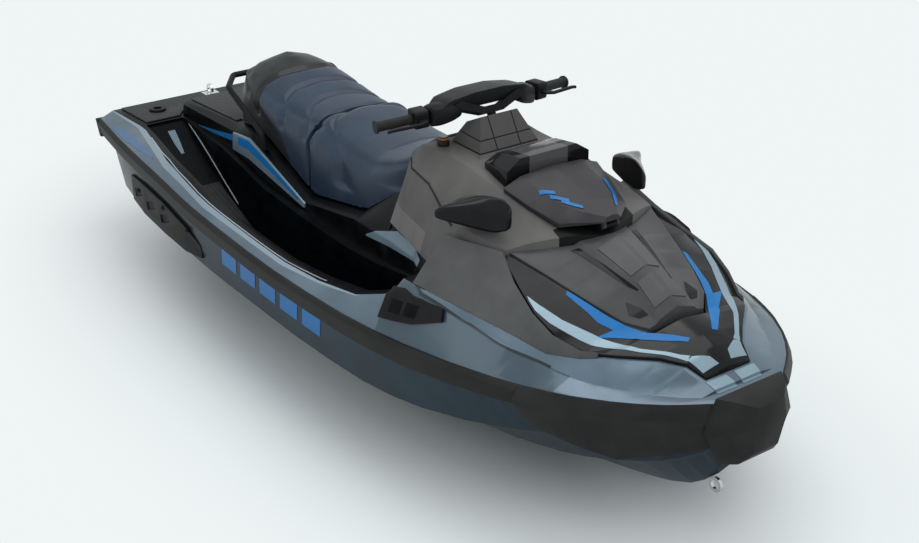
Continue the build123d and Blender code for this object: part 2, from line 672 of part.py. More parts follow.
bucket_r = BUCKET_INNER_R + BUCKET_WALL
bucket_mid, bucket_end = BUCKET_START + BUCKET_SPAN / 2, BUCKET_START + BUCKET_SPAN
with BuildPart() as reverse_bucket:
    with BuildSketch(side_plane(0)):
        with BuildLine():
            ThreePointArc(polar(bucket_r, BUCKET_START), polar(bucket_r, bucket_mid),
                          polar(bucket_r, bucket_end))
            Line(polar(bucket_r, bucket_end), polar(BUCKET_INNER_R, bucket_end))
            ThreePointArc(polar(BUCKET_INNER_R, bucket_end), polar(BUCKET_INNER_R, bucket_mid),
                          polar(BUCKET_INNER_R, BUCKET_START))
            Line(polar(BUCKET_INNER_R, BUCKET_START), polar(bucket_r, BUCKET_START))
        make_face()
    extrude(amount=BUCKET_HALF_WIDTH, both=True)
    for sign in (1, -1):
        with BuildSketch(side_plane(sign * (BUCKET_HALF_WIDTH - BUCKET_WALL / 2))):
            with BuildLine():
                ThreePointArc(polar(bucket_r, BUCKET_START), polar(bucket_r, bucket_mid),
                              polar(bucket_r, bucket_end))
                Polyline(polar(bucket_r, bucket_end), polar(30, bucket_end + 40), polar(24, 190),
                         polar(30, BUCKET_START - 60), polar(bucket_r, BUCKET_START))
            make_face()
            with Locations((BUCKET_PIVOT_X, PUMP_H)):
                Circle(BUCKET_PIN_R + PIN_GAP, mode=Mode.SUBTRACT)
        extrude(amount=BUCKET_WALL / 2, both=True)
write(reverse_bucket, "reverse_bucket")


# Ride plate under the pump and the grate over the intake
with BuildPart() as ride_plate:
    with BuildSketch(level(RIDE_PLATE_H)):
        with Locations(((TRANSOM_X + PUMP_FRONT_X) / 2, 0)):
            Rectangle(PUMP_FRONT_X - TRANSOM_X - PANEL_GAP, 2 * (TUNNEL_HALF_WIDTH - SEAM_GAP))
    extrude(amount=RIDE_PLATE_THICKNESS)
write(ride_plate, "ride_plate")

with BuildPart() as intake_grate:
    with BuildSketch(level(GRATE_H)):
        with Locations((INTAKE_REAR_X + GRATE_LENGTH * 0.4, 0)):
            Rectangle(GRATE_LENGTH, 2 * (INTAKE_HALF_WIDTH - SEAM_GAP))
            with GridLocations(0, GRATE_PITCH, 1, 4):
                Rectangle(GRATE_LENGTH - 2 * GRATE_THICKNESS, GRATE_SLOT, mode=Mode.SUBTRACT)
    extrude(amount=GRATE_THICKNESS)
write(intake_grate, "intake_grate")


# Console: the moulding that carries the steering, the bin and the glove box
column = Vector(COLUMN_X, 0, BASE + COLUMN_H)
column_axis = Vector(-sin(radians(COLUMN_TILT)), 0, cos(radians(COLUMN_TILT)))
column_ahead = Vector(cos(radians(COLUMN_TILT)), 0, sin(radians(COLUMN_TILT)))
column_plane = Plane(origin=column, x_dir=column_ahead, z_dir=column_axis)
hinge_x = LID[-1].x - HINGE_SETBACK
hinge_h = ruled(LID, hinge_x).low_h - HINGE_DROP


def console_outline(c):
    return both_sides([(c.top_y, c.top_h), (c.wall_y, c.wall_h), (c.low_y, deck_top(c.x) + SEAM_GAP)])


def seam_outline(step, far_x):
    """Plan of all that lies ahead of or behind the seam between the console and the hood."""
    half = [(x + step, y) for x, y in SEAM] + [(far_x, SEAM[-1][1])]
    return half + [(x, -y) for x, y in reversed(half) if y > 0]


with BuildPart() as console:
    add_loft([(c.x, console_outline(c)) for c in CONSOLE])
    with BuildSketch(level(PLUG_TOP_H)):
        with BuildLine():
            Polyline(*seam_outline(0, STATION_X[-1]), close=True)
        make_face()
    extrude(amount=COLUMN_H, mode=Mode.SUBTRACT)
    with BuildSketch(level(BIN_FLOOR_H)):
        with Locations((sum(BIN_X) / 2, 0)):
            Rectangle(BIN_X[1] - BIN_X[0], 2 * BIN_HALF_WIDTH)
    extrude(amount=COLUMN_H, mode=Mode.SUBTRACT)
    with BuildSketch(level(GLOVE_FLOOR_H)):
        with Locations((sum(GLOVE_X) / 2, 0)):
            Rectangle(GLOVE_X[1] - GLOVE_X[0], 2 * GLOVE_HALF_WIDTH)
    extrude(amount=COLUMN_H, mode=Mode.SUBTRACT)
    # Steering neck with the bore for the stem
    with BuildSketch(level(NECK_BASE[1])):
        with Locations((NECK_BASE[0], 0)):
            Rectangle(*NECK_BASE[2:])
    with BuildSketch(column_plane):
        Rectangle(*NECK_TOP)
    loft()
    with BuildSketch(column_plane):
        Circle(STEM_R + PIN_GAP)
    extrude(amount=-STEM_LENGTH - MOVING_GAP, mode=Mode.SUBTRACT)
    # Hinge tongue for the storage lid
    foot_x = LID[2].x
    foot_h = ruled(CONSOLE, foot_x).top_h
    with BuildSketch(side_plane(0)):
        with BuildLine():
            Polyline((foot_x, foot_h - 3 * HINGE_R), (hinge_x - 4 * HINGE_R, foot_h - 3 * HINGE_R),
                     (hinge_x + HINGE_R, hinge_h), (hinge_x, hinge_h + HINGE_R), (foot_x, foot_h), close=True)
        make_face()
        with Locations((hinge_x, hinge_h)):
            Circle(HINGE_R)
            Circle(HINGE_PIN_R + PIN_GAP, mode=Mode.SUBTRACT)
    extrude(amount=TONGUE_HALF_WIDTH, both=True)
write(console, "console")


# Side shrouds: grey panels from the mirrors down to the bow
def shroud_outline(s, side):
    low_h = deck_top(s.x) + SEAM_GAP
    foot_y = ruled(CONSOLE, s.x).low_y + PANEL_GAP if s.x <= SEAM[2][0] else s.inner_y
    return [(side * y, h) for y, h in (
        (s.low_y, low_h), (s.top_y, s.top_h), (s.inner_y, s.inner_h), (foot_y, low_h))]


for name, side in (("starboard", -1), ("port", 1)):
    with BuildPart() as shroud:
        add_loft([(s.x, shroud_outline(s, side)) for s in SHROUD])
    write(shroud, f"shroud_{name}")


# Hood: the black moulding over the bow, and the creased plate that lies in it
def hood_outline(h):
    return both_sides([(0, h.centre_h), (h.in_y, h.in_h), (h.lip_y, h.lip_h), (h.edge_y, h.edge_h),
                       (h.edge_y, deck_top(h.x) + SEAM_GAP)])


def panel_outline(p):
    return both_sides([(0, p.crown_h), (p.ridge_y, p.ridge_h), (p.valley_y, p.valley_h), (p.wing_y, p.wing_h),
                       (p.wing_y - PANEL_GAP, p.wing_h - PLATE_THICKNESS)])


for name, sections in (("hood", [(h.x, hood_outline(h)) for h in HOOD]),
                       ("hood_panel", [(p.x, panel_outline(p)) for p in PANEL])):
    with BuildPart() as cover:
        add_loft(sections)
        with BuildSketch(level(PLUG_TOP_H)):
            with BuildLine():
                Polyline(*seam_outline(PANEL_GAP, STERN_X), close=True)
            make_face()
        extrude(amount=COLUMN_H, mode=Mode.SUBTRACT)
    write(cover, name)


# Seats: two removable cushions on the pedestal
def seat_outline(s):
    return both_sides([(0, s.crown_h), (s.top_y, s.top_h), (s.edge_y, s.edge_h), (s.hip_y, s.hip_h),
                       (s.base_y, deck_top(s.x) + SEAM_GAP)])


for name, rows in (("driver_seat", DRIVER_SEAT), ("passenger_seat", PASSENGER_SEAT)):
    with BuildPart() as seat:
        add_loft([(s.x, seat_outline(s)) for s in rows])
    write(seat, name)


# Storage lid: crowned cover hinged at its forward point
def lid_outline(row):
    return both_sides([(0, row.crown_h), (row.mid_y, row.mid_h), (row.edge_y, row.edge_h),
                       (row.edge_y - PANEL_GAP, row.low_h)])


lug_y = TONGUE_HALF_WIDTH + PANEL_GAP + LUG_HALF_WIDTH
lug_top_h = hinge_h + HINGE_DROP + LUG_HALF_WIDTH
with BuildPart() as storage_lid:
    add_loft([(row.x, lid_outline(row)) for row in LID])
    for side in (1, -1):
        with BuildSketch(side_plane(side * lug_y)):
            with BuildLine():
                Polyline((hinge_x - HINGE_R, hinge_h), (hinge_x + HINGE_R, hinge_h), (hinge_x + 2, lug_top_h),
                         (hinge_x - 2 * HINGE_R, lug_top_h), close=True)
            make_face()
            with Locations((hinge_x, hinge_h)):
                Circle(HINGE_R)
        extrude(amount=LUG_HALF_WIDTH, both=True)
    with BuildSketch(side_plane(0)):
        with Locations((hinge_x, hinge_h)):
            Circle(HINGE_PIN_R)
    extrude(amount=lug_y, both=True)
write(storage_lid, "storage_lid")


# Gauge pod behind the lid, its screen recess facing aft
def pod_outline(p):
    foot_h = ruled(CONSOLE, p.x).top_h + SEAM_GAP
    return both_sides([(p.top_y, p.top_h), (p.out_y, p.out_h), (p.out_y, foot_h)])


with BuildPart() as gauge_pod:
    add_loft([(p.x, pod_outline(p)) for p in POD])
    with BuildSketch(frame_plane(POD[0].x)):
        with Locations((0, (POD[0].top_h + ruled(CONSOLE, POD[0].x).top_h) / 2)):
            RectangleRounded(*SCREEN[:2], SCREEN[2])
    extrude(amount=SCREEN[2], mode=Mode.SUBTRACT)
write(gauge_pod, "gauge_pod")


# Glove box lid on the console's slope above the seat, turning on its round upper edge
glove_low, glove_high = CONSOLE[0], CONSOLE[1]
glove_fall = (glove_high.top_h - glove_low.top_h) / (glove_high.x - glove_low.x)
glove_plane = Plane(origin=(glove_high.x, 0, BASE + glove_high.top_h), x_dir=(-1, 0, -glove_fall),
                    z_dir=(-glove_fall, 0, 1))
glove_length, glove_width, glove_thickness = GLOVE_LID
glove_hinge = glove_plane.from_local_coords((glove_thickness / 2, 0, SEAM_GAP + glove_thickness / 2))
with BuildPart() as glove_lid:
    with BuildSketch(glove_plane.offset(SEAM_GAP)):
        with Locations((glove_thickness / 2 + glove_length / 2, 0)):
            Rectangle(glove_length, glove_width)
    extrude(amount=glove_thickness)
    with BuildSketch(Plane(origin=glove_hinge, z_dir=(0, 1, 0))):
        Circle(glove_thickness / 2)
    extrude(amount=glove_width / 2, both=True)
write(glove_lid, "glove_lid")


# Mirrors: wing housings on the console's shoulders, each with a recess for its glass
def mirror_outline(m, side):
    c = ruled(CONSOLE, m.x)
    in_h = c.wall_h + (c.wall_y - m.in_y) * (c.top_h - c.wall_h) / (c.wall_y - c.top_y) + SEAM_GAP
    return [(side * y, h) for y, h in (
        (m.in_y, in_h), (m.out_y, m.out_low_h), (m.out_y, m.out_top_h), (m.in_y, m.in_top_h))]


for name, side in (("starboard", -1), ("port", 1)):
    with BuildPart() as mirror:
        add_loft([(m.x, mirror_outline(m, side)) for m in MIRROR])
        with BuildSketch(frame_plane(MIRROR[0].x)):
            with BuildLine():
                Polyline(*mirror_outline(MIRROR[0], side), close=True)
            make_face()
            offset(amount=-GLASS_INSET, mode=Mode.REPLACE)
        extrude(amount=GLASS_DEPTH, mode=Mode.SUBTRACT)
    write(mirror, f"mirror_{name}")


# Handlebar: a forked yoke on the stem with a tube in each arm, then what it carries
with BuildPart() as handlebar:
    with BuildSketch(Plane(origin=column, x_dir=(0, 1, 0), z_dir=column_ahead)):
        with BuildLine():
            Polyline(*YOKE, *[(-y, a) for y, a in reversed(YOKE)], close=True)
        make_face()
    extrude(amount=YOKE_HALF_DEPTH, both=True)
    with BuildSketch(column_plane.offset(-STEM_LENGTH)):
        Circle(STEM_R)
    extrude(amount=STEM_LENGTH + YOKE[0][1] + STEM_R)
    for side in (1, -1):
        with BuildLine() as bar_line:
            FilletPolyline(*[(x, side * y, BASE + h) for x, y, h in BAR_PATH], radius=BAR_BEND_R)
        with BuildSketch(Plane(origin=bar_line.line @ 0, z_dir=bar_line.line % 0)):
            Circle(BAR_R)
        sweep(path=bar_line.line)
write(handlebar, "handlebar")

pad_foot = max(a for y, a in YOKE) + SEAM_GAP
with BuildPart() as bar_pad:
    for lift, taper in ((0, 0), (PAD_HEIGHT, PAD_TAPER)):
        with BuildSketch(column_plane.offset(pad_foot + lift)):
            with Locations((-PAD_SETBACK, 0)):
                Rectangle(PAD_LENGTH - taper, PAD_WIDTH - taper)
    loft()
write(bar_pad, "bar_pad")

bar_end, bar_bend = Vector(*BAR_PATH[0]), Vector(*BAR_PATH[1])
for name, side, lever_name in (("starboard", -1, "throttle_lever"), ("port", 1, "brake_lever")):
    end = Vector(bar_end.X, side * bar_end.Y, BASE + bar_end.Z)
    along = bar_bend - bar_end
    inboard = Vector(along.X, side * along.Y, along.Z).normalized()
    ahead = Vector(-side * inboard.Y, side * inboard.X, 0).normalized()
    grip_plane = Plane(origin=end, x_dir=ahead, z_dir=inboard)
    with BuildPart() as grip:
        with BuildSketch(grip_plane.offset(-GRIP_FLANGE / 2)):
            Circle(GRIP_R + 5)
        extrude(amount=GRIP_FLANGE)
        with BuildSketch(grip_plane):
            Circle(GRIP_R)
        extrude(amount=GRIP_LENGTH)
        with BuildSketch(grip_plane.offset(-PIN_GAP)):
            Circle(BAR_R + PIN_GAP)
        extrude(amount=GRIP_LENGTH + 1, mode=Mode.SUBTRACT)
    write(grip, f"grip_{name}")
    with BuildPart() as switch_housing:
        with BuildSketch(grip_plane.offset(GRIP_LENGTH + PANEL_GAP)):
            RectangleRounded(*HOUSING[:2], 12)
            Circle(BAR_R + PIN_GAP, mode=Mode.SUBTRACT)
        extrude(amount=HOUSING[2])
    write(switch_housing, f"switch_housing_{name}")
    with BuildPart() as lever:
        foot_a = HOUSING[0] / 2 + SEAM_GAP
        root = GRIP_LENGTH + PANEL_GAP + HOUSING[2] / 2
        with BuildSketch(Plane(origin=end, x_dir=inboard, z_dir=inboard.cross(ahead))):
            with BuildLine():
                Polyline((root + 12, foot_a), (root + 12, foot_a + 21), (root - 16, foot_a + 39),
                         (30, foot_a + 33),
                         (14, foot_a + 39), (14, foot_a + 27), (30, foot_a + 21), (root - 24, foot_a + 25),
                         (root - 12, foot_a), close=True)
            make_face()
        extrude(amount=5, both=True)
    write(lever, lever_name)


# Grab handle looped round the back of the passenger seat
grab_ledge = ruled(PEDESTAL, GRAB_FOOT[0] - GRAB_R)
ledge_slope = (grab_ledge.top_h - grab_ledge.shoulder_h) / (grab_ledge.shoulder_y - grab_ledge.top_y)
grab_foot_h = grab_ledge.shoulder_h + (grab_ledge.shoulder_y - GRAB_FOOT[1] + GRAB_R) * ledge_slope
with BuildPart() as grab_handle:
    grab_half = [(*GRAB_FOOT, BASE + grab_foot_h), *[(x, y, BASE + h) for x, y, h in GRAB_PATH]]
    with BuildLine() as grab_line:
        FilletPolyline(*grab_half, *[(x, -y, z) for x, y, z in reversed(grab_half)], radius=28)
    with BuildSketch(Plane.XY.offset(grab_half[0][2])):
        with Locations(grab_half[0][:2]):
            Circle(GRAB_R)
    sweep(path=grab_line.line)
write(grab_handle, "grab_handle")


# Mats: foam traction on the footwell floors, the platform and the after deck
for name, side in (("starboard", -1), ("port", 1)):
    with BuildPart() as footwell_mat:
        add_loft([(w.x, [(side * y, w.floor_h + lift) for y, lift in (
            (w.floor_out_y - MAT_INSET, SEAM_GAP), (w.floor_out_y - MAT_INSET, MAT_THICKNESS),
            (w.floor_in_y + MAT_INSET, MAT_THICKNESS), (w.floor_in_y + MAT_INSET, SEAM_GAP))])
            for w in WELLS[1:5]])
    write(footwell_mat, f"footwell_mat_{name}")

platform_h = LINES[0].top_h
hump_rear, hump_front = PEDESTAL[0], PEDESTAL[1]
with BuildPart() as platform_mat:
    mat_half = [(hump_rear.x - MAT_INSET, 0), (hump_rear.x - MAT_INSET, hump_rear.foot_y),
                (hump_front.x, hump_front.foot_y + MAT_INSET), (hump_front.x, LINES[1].top_y - 4 * MAT_INSET),
                (STERN_X + MAT_INSET, LINES[0].top_y - 4 * MAT_INSET)]
    with BuildSketch(level(platform_h + SEAM_GAP)):
        with BuildLine():
            Polyline(*mat_half, *[(x, -y) for x, y in reversed(mat_half) if y > 0], close=True)
        make_face()
        with Locations((ANCHOR_X, ANCHOR_Y), (ANCHOR_X, -ANCHOR_Y)):
            Circle(ANCHOR_R + PANEL_GAP, mode=Mode.SUBTRACT)
        with Locations((TOW_X, 0)):
            Rectangle(50 + 2 * PANEL_GAP, 70 + 2 * PANEL_GAP, mode=Mode.SUBTRACT)
    extrude(amount=MAT_THICKNESS)
write(platform_mat, "platform_mat")

pad_rows = [hump_front, ruled(PEDESTAL, PASSENGER_SEAT[-1].x - PANEL_GAP)]
with BuildPart() as rear_deck_pad:
    add_loft([(p.x, both_sides([(p.top_y - MAT_INSET, p.top_h + MAT_THICKNESS),
                                (p.top_y - MAT_INSET, p.top_h + SEAM_GAP)])) for p in pad_rows])
write(rear_deck_pad, "rear_deck_pad")


# Accessory anchors: round cups that take a cargo pin
for name, side in (("starboard", -1), ("port", 1)):
    with BuildPart() as anchor:
        with BuildSketch(level(platform_h + SEAM_GAP)):
            with Locations((ANCHOR_X, side * ANCHOR_Y)):
                Circle(ANCHOR_R)
        extrude(amount=ANCHOR_HEIGHT)
        with BuildSketch(level(platform_h + SEAM_GAP + ANCHOR_FLOOR)):
            with Locations((ANCHOR_X, side * ANCHOR_Y)):
                Circle(ANCHOR_BORE_R)
        extrude(amount=ANCHOR_HEIGHT, mode=Mode.SUBTRACT)
    write(anchor, f"accessory_anchor_{name}")


# Eyes: tow eye on the platform, stern eyes on the transom, bow eye on the stem
eye_lift = EYE_PLATE + 1 + EYE_R
ring_r = EYE_R + 2 * EYE_WIRE_R
with BuildPart() as tow_eye:
    with BuildSketch(level(platform_h + SEAM_GAP)):
        with Locations((TOW_X, 0)):
            Rectangle(50, 70)
    extrude(amount=EYE_PLATE)
    with BuildSketch(side_plane(0)):
        with Locations((TOW_X, platform_h + SEAM_GAP + eye_lift)):
            Circle(ring_r)
            Circle(EYE_R, mode=Mode.SUBTRACT)
        with Locations((TOW_X, platform_h + SEAM_GAP - ring_r)):
            Rectangle(3 * ring_r, 2 * ring_r, mode=Mode.SUBTRACT)
    extrude(amount=EYE_WIRE_R, both=True)
write(tow_eye, "tow_eye")

eye_foot_x = TRANSOM_X - SEAM_GAP
for name, side in (("starboard", -1), ("port", 1)):
    with BuildPart() as stern_eye:
        with BuildSketch(frame_plane(eye_foot_x)):
            with Locations((side * STERN_EYE_Y, STERN_EYE_H)):
                RectangleRounded(40, 70, 10)
        extrude(amount=-EYE_PLATE)
        with BuildSketch(side_plane(side * STERN_EYE_Y)):
            with Locations((eye_foot_x - eye_lift, STERN_EYE_H)):
                Circle(ring_r)
                Circle(EYE_R, mode=Mode.SUBTRACT)
            with Locations((eye_foot_x + ring_r, STERN_EYE_H)):
                Rectangle(2 * ring_r, 3 * ring_r, mode=Mode.SUBTRACT)
        extrude(amount=EYE_WIRE_R, both=True)
    write(stern_eye, f"stern_eye_{name}")

stem_a, stem_b = (fair(LINES, x) for x in STATION_X[-4:-2])
stem_run = Vector(stem_b.x - stem_a.x, 0, stem_b.keel_h - stem_a.keel_h).normalized()
stem_mid = Vector((stem_a.x + stem_b.x) / 2, 0, (stem_a.keel_h + stem_b.keel_h) / 2 + BASE)
eye_centre = stem_mid + Vector(stem_run.Z, 0, -stem_run.X) * (ring_r + SEAM_GAP)
with BuildPart() as bow_eye:
    with BuildSketch(Plane(origin=eye_centre, x_dir=(1, 0, 0), z_dir=(0, -1, 0))):
        Circle(ring_r)
        Circle(EYE_R, mode=Mode.SUBTRACT)
    extrude(amount=EYE_WIRE_R, both=True)
write(bow_eye, "bow_eye")


# Gunwale vents: black blocks on the deck's flank ahead of the footwells
def vent_outline(f, side):
    run_y, run_h = f.top_y - f.gun_y, f.top_h - f.gun_h
    low, high = ((f.gun_y + share * run_y, f.gun_h + share * run_h) for share in (0.45, 0.92))
    return [(side * y, h) for y, h in (
        (low[0] + SEAM_GAP, low[1]), (low[0] + VENT_DEPTH, low[1]), (high[0] + VENT_DEPTH, high[1]),
        (high[0] + SEAM_GAP, high[1]))]


for name, side in (("starboard", -1), ("port", 1)):
    with BuildPart() as gunwale_vent:
        add_loft([(x, vent_outline(fair(LINES, x), side)) for x in VENT_X])
    write(gunwale_vent, f"gunwale_vent_{name}")


# Accent panels: painted covers on the pedestal's sides below the passenger seat
def accent_outline(p, side, drop):
    run_y, run_h = p.foot_y - p.shoulder_y, p.shoulder_h - p.foot_h
    low_y, low_h = p.shoulder_y + run_y * drop / run_h, p.shoulder_h - drop
    return [(side * y, h) for y, h in (
        (p.shoulder_y + 2 * SEAM_GAP, p.shoulder_h), (p.shoulder_y + ACCENT_DEPTH, p.shoulder_h - 2),
        (low_y + ACCENT_DEPTH, low_h), (low_y + 2 * SEAM_GAP, low_h))]


for name, side in (("starboard", -1), ("port", 1)):
    with BuildPart() as accent_panel:
        add_loft([(p.x, accent_outline(p, side, drop)) for p, drop in zip(PEDESTAL[2:5], ACCENT_DROP)])
    write(accent_panel, f"accent_panel_{name}")
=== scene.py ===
import bmesh
import bpy
import json
import math
from mathutils import Matrix, Vector

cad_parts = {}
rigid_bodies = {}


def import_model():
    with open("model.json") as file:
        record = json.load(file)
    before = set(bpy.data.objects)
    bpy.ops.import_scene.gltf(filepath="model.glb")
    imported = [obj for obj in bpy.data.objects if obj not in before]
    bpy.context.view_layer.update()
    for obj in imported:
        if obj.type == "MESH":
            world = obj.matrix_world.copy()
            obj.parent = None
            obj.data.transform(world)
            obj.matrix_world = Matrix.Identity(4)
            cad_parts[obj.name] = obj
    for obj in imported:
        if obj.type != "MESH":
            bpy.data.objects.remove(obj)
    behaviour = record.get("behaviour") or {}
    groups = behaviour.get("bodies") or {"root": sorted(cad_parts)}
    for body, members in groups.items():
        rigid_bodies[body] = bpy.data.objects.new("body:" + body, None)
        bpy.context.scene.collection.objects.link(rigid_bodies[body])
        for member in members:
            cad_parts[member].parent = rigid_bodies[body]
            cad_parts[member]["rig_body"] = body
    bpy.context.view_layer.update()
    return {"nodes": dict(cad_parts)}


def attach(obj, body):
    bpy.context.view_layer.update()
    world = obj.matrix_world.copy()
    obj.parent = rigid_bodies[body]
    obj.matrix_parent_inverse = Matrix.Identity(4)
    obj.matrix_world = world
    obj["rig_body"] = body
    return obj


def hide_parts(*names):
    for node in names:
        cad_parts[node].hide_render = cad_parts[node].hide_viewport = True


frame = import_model()
scene = bpy.context.scene
nodes = frame["nodes"]

# Studio: a pale floor at keel level under a plain pale sky, so the whole hull shows as it does
# in the photo. The floor fades into the background away from the boat and keeps its shadow.
def shade_node(tree, kind, inputs={}, **settings):
    made = tree.nodes.new("ShaderNode" + kind)
    for key, value in settings.items():
        setattr(made, key, value)
    for socket, value in inputs.items():
        if isinstance(value, bpy.types.NodeSocket):
            tree.links.new(value, made.inputs[socket])
        else:
            made.inputs[socket].default_value = value
    return made


bpy.ops.object.select_all(action="DESELECT")
floor_z = -0.2405
backdrop = (0.863, 0.913, 0.913, 1)
bpy.ops.mesh.primitive_plane_add(size=40, location=(0, 0, floor_z))
floor = bpy.context.object
floor.name = "studio_floor"
bpy.ops.object.transform_apply(location=True, rotation=True, scale=True)
floor_paint = bpy.data.materials.new("studio_floor")
floor_paint.use_nodes = True
tree = floor_paint.node_tree
matt = tree.nodes["Principled BSDF"]
matt.inputs["Base Color"].default_value = (0.78, 0.825, 0.825, 1)
matt.inputs["Roughness"].default_value = 0.9
matt.inputs["Specular IOR Level"].default_value = 0.1
coords = shade_node(tree, "TexCoord")
oval = shade_node(tree, "Mapping", {"Vector": coords.outputs["Object"], "Scale": (0.5, 1, 0)})
away = shade_node(tree, "VectorMath", {0: oval.outputs[0]}, operation="LENGTH")
fade = shade_node(tree, "MapRange", {"Value": away.outputs["Value"], "From Min": 0.5, "From Max": 1.5},
                  interpolation_type="SMOOTHSTEP")
pale = shade_node(tree, "Emission", {"Color": backdrop})
blend = shade_node(tree, "MixShader", {0: fade.outputs["Result"], 1: matt.outputs[0], 2: pale.outputs[0]})
tree.links.new(blend.outputs[0], tree.nodes["Material Output"].inputs["Surface"])
floor.data.materials.append(floor_paint)

world = bpy.data.worlds.new("studio")
scene.world = world
world.use_nodes = True
tree = world.node_tree
sky = tree.nodes["Background"]
sky.inputs["Color"].default_value = (0.90, 0.96, 1.0, 1)
sky.inputs["Strength"].default_value = 0.42
back = shade_node(tree, "Background", {"Color": backdrop})
path = shade_node(tree, "LightPath")
seen = shade_node(tree, "Math", {0: path.outputs["Is Camera Ray"], 1: path.outputs["Is Glossy Ray"]},
                  operation="MAXIMUM")
seen = shade_node(tree, "Math", {0: seen.outputs[0], 1: path.outputs["Is Transmission Ray"]},
                  operation="MAXIMUM")
blend = shade_node(tree, "MixShader", {0: seen.outputs[0], 1: sky.outputs[0], 2: back.outputs[0]})
tree.links.new(blend.outputs[0], tree.nodes["World Output"].inputs["Surface"])

# Camera at the viewpoint solved from the photo: 36 degrees off the bow to starboard and 25.6 degrees
# up, rolled a quarter of a degree.
lens = bpy.data.cameras.new("camera")
lens.sensor_width = 36
lens.lens = 55.23
camera = bpy.data.objects.new("camera", lens)
scene.collection.objects.link(camera)
azimuth, elevation, roll = math.radians(36.0), math.radians(25.6), math.radians(-0.23)
toward = Vector((math.cos(azimuth) * math.cos(elevation), -math.sin(azimuth) * math.cos(elevation),
                 math.sin(elevation)))
right = Vector((math.sin(azimuth), math.cos(azimuth), 0))
up = toward.cross(right)
right, up = (math.cos(roll) * right + math.sin(roll) * up, -math.sin(roll) * right + math.cos(roll) * up)
turn = Matrix((right, up, toward)).transposed().to_4x4()
camera.matrix_world = Matrix.Translation((3.948, -2.683, 2.341)) @ turn
scene.camera = camera

# Light: one broad softbox overhead, a second from ahead, a little to starboard, and a third low on
# the starboard side, all plain white area lamps.
for name, place, target, size, power in (
        ("softbox_top", (0.2, 0.6, 3.6), (0, 0, 0), 3.2, 86),
        ("softbox_bow", (3.4, -0.6, 2.4), (0.6, 0, 0.2), 2.0, 36),
        ("softbox_side", (0.2, -3.6, 1.7), (0, 0, 0.1), 2.4, 30)):
    lamp = bpy.data.lights.new(name, "AREA")
    lamp.size = size
    lamp.energy = power
    holder = bpy.data.objects.new(name, lamp)
    scene.collection.objects.link(holder)
    holder.location = place
    holder.rotation_euler = (Vector(target) - Vector(place)).to_track_quat("-Z", "Y").to_euler()

scene.view_settings.view_transform = "Standard"


def on_bench(piece):
    bpy.ops.object.select_all(action="DESELECT")
    piece.hide_viewport = False
    piece.select_set(True)
    bpy.context.view_layer.objects.active = piece


def merged_copy(node, name, gap=0.00005, flatten=True):
    """A copy of a solid's mesh with its loose triangles joined, and flat ones made into one face."""
    copy = bpy.data.objects.new(name, nodes[node].data.copy())
    scene.collection.objects.link(copy)
    on_bench(copy)
    bpy.ops.mesh.customdata_custom_splitnormals_clear()
    bpy.ops.object.mode_set(mode="EDIT")
    bpy.ops.mesh.select_all(action="SELECT")
    bpy.ops.mesh.remove_doubles(threshold=gap)
    if flatten:
        bpy.ops.mesh.dissolve_limited(angle_limit=math.radians(0.5))
    bpy.ops.object.mode_set(mode="OBJECT")
    return copy


def skin_of(node, edge, crease=30):
    """A moulding's skin: the solid's shape with its edges rounded off, standing for the solid."""
    skin = merged_copy(node, node + "_skin")
    round_off = skin.modifiers.new("edge", "BEVEL")
    round_off.width = edge
    round_off.segments = 3
    round_off.limit_method = "ANGLE"
    round_off.angle_limit = math.radians(crease)
    bpy.ops.object.modifier_apply(modifier="edge")
    bpy.ops.object.shade_smooth_by_angle(angle=math.radians(crease))
    skin.data.materials.clear()
    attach(skin, nodes[node]["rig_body"])
    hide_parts(node)
    return skin


def colour_stops(tree, value, stops):
    ramp = shade_node(tree, "ValToRGB", {0: value})
    while len(ramp.color_ramp.elements) < len(stops):
        ramp.color_ramp.elements.new(0.5)
    for element, (place, colour) in zip(ramp.color_ramp.elements, stops):
        element.position = place
        element.color = (*colour, 1)
    return ramp.outputs["Color"]


def blank_finish(name):
    finish = bpy.data.materials.new(name)
    finish.use_nodes = True
    tree = finish.node_tree
    place = shade_node(tree, "TexCoord").outputs["Object"]
    return finish, tree, tree.nodes["Principled BSDF"], place


def gelcoat(name, deep, light, metal=0.35):
    finish, tree, coat, place = blank_finish(name)
    flake = shade_node(tree, "TexVoronoi", {"Vector": place, "Scale": 1400})
    cloud = shade_node(tree, "TexNoise", {"Vector": place, "Scale": 3.5, "Detail": 3})
    mixed = shade_node(tree, "Math", {0: flake.outputs["Color"], 1: 0.35}, operation="MULTIPLY")
    mixed = shade_node(tree, "Math", {0: cloud.outputs["Fac"], 1: mixed.outputs[0]}, operation="ADD")
    paint = colour_stops(tree, mixed.outputs[0], [(0.38, deep), (0.95, light)])
    tree.links.new(paint, coat.inputs["Base Color"])
    peel = shade_node(tree, "TexNoise", {"Vector": place, "Scale": 160, "Detail": 2})
    bump = shade_node(tree, "Bump", {"Height": peel.outputs["Fac"], "Strength": 0.025, "Distance": 0.001})
    tree.links.new(bump.outputs[0], coat.inputs["Normal"])
    rough = shade_node(tree, "MapRange", {"Value": cloud.outputs["Fac"], "To Min": 0.24, "To Max": 0.36})
    tree.links.new(rough.outputs["Result"], coat.inputs["Roughness"])
    coat.inputs["Metallic"].default_value = metal
    coat.inputs["Coat Weight"].default_value = 0.3
    coat.inputs["Coat Roughness"].default_value = 0.05
    return finish, tree, coat, place, paint


def uncoated(name, deep, light, metal, gloss=0.5):
    """Gel coat or vinyl film without the clear coat."""
    finish, _, coat, _, _ = gelcoat(name, deep, light, metal)
    coat.inputs["Specular IOR Level"].default_value = gloss
    coat.inputs["Coat Weight"].default_value = 0.0
    return finish


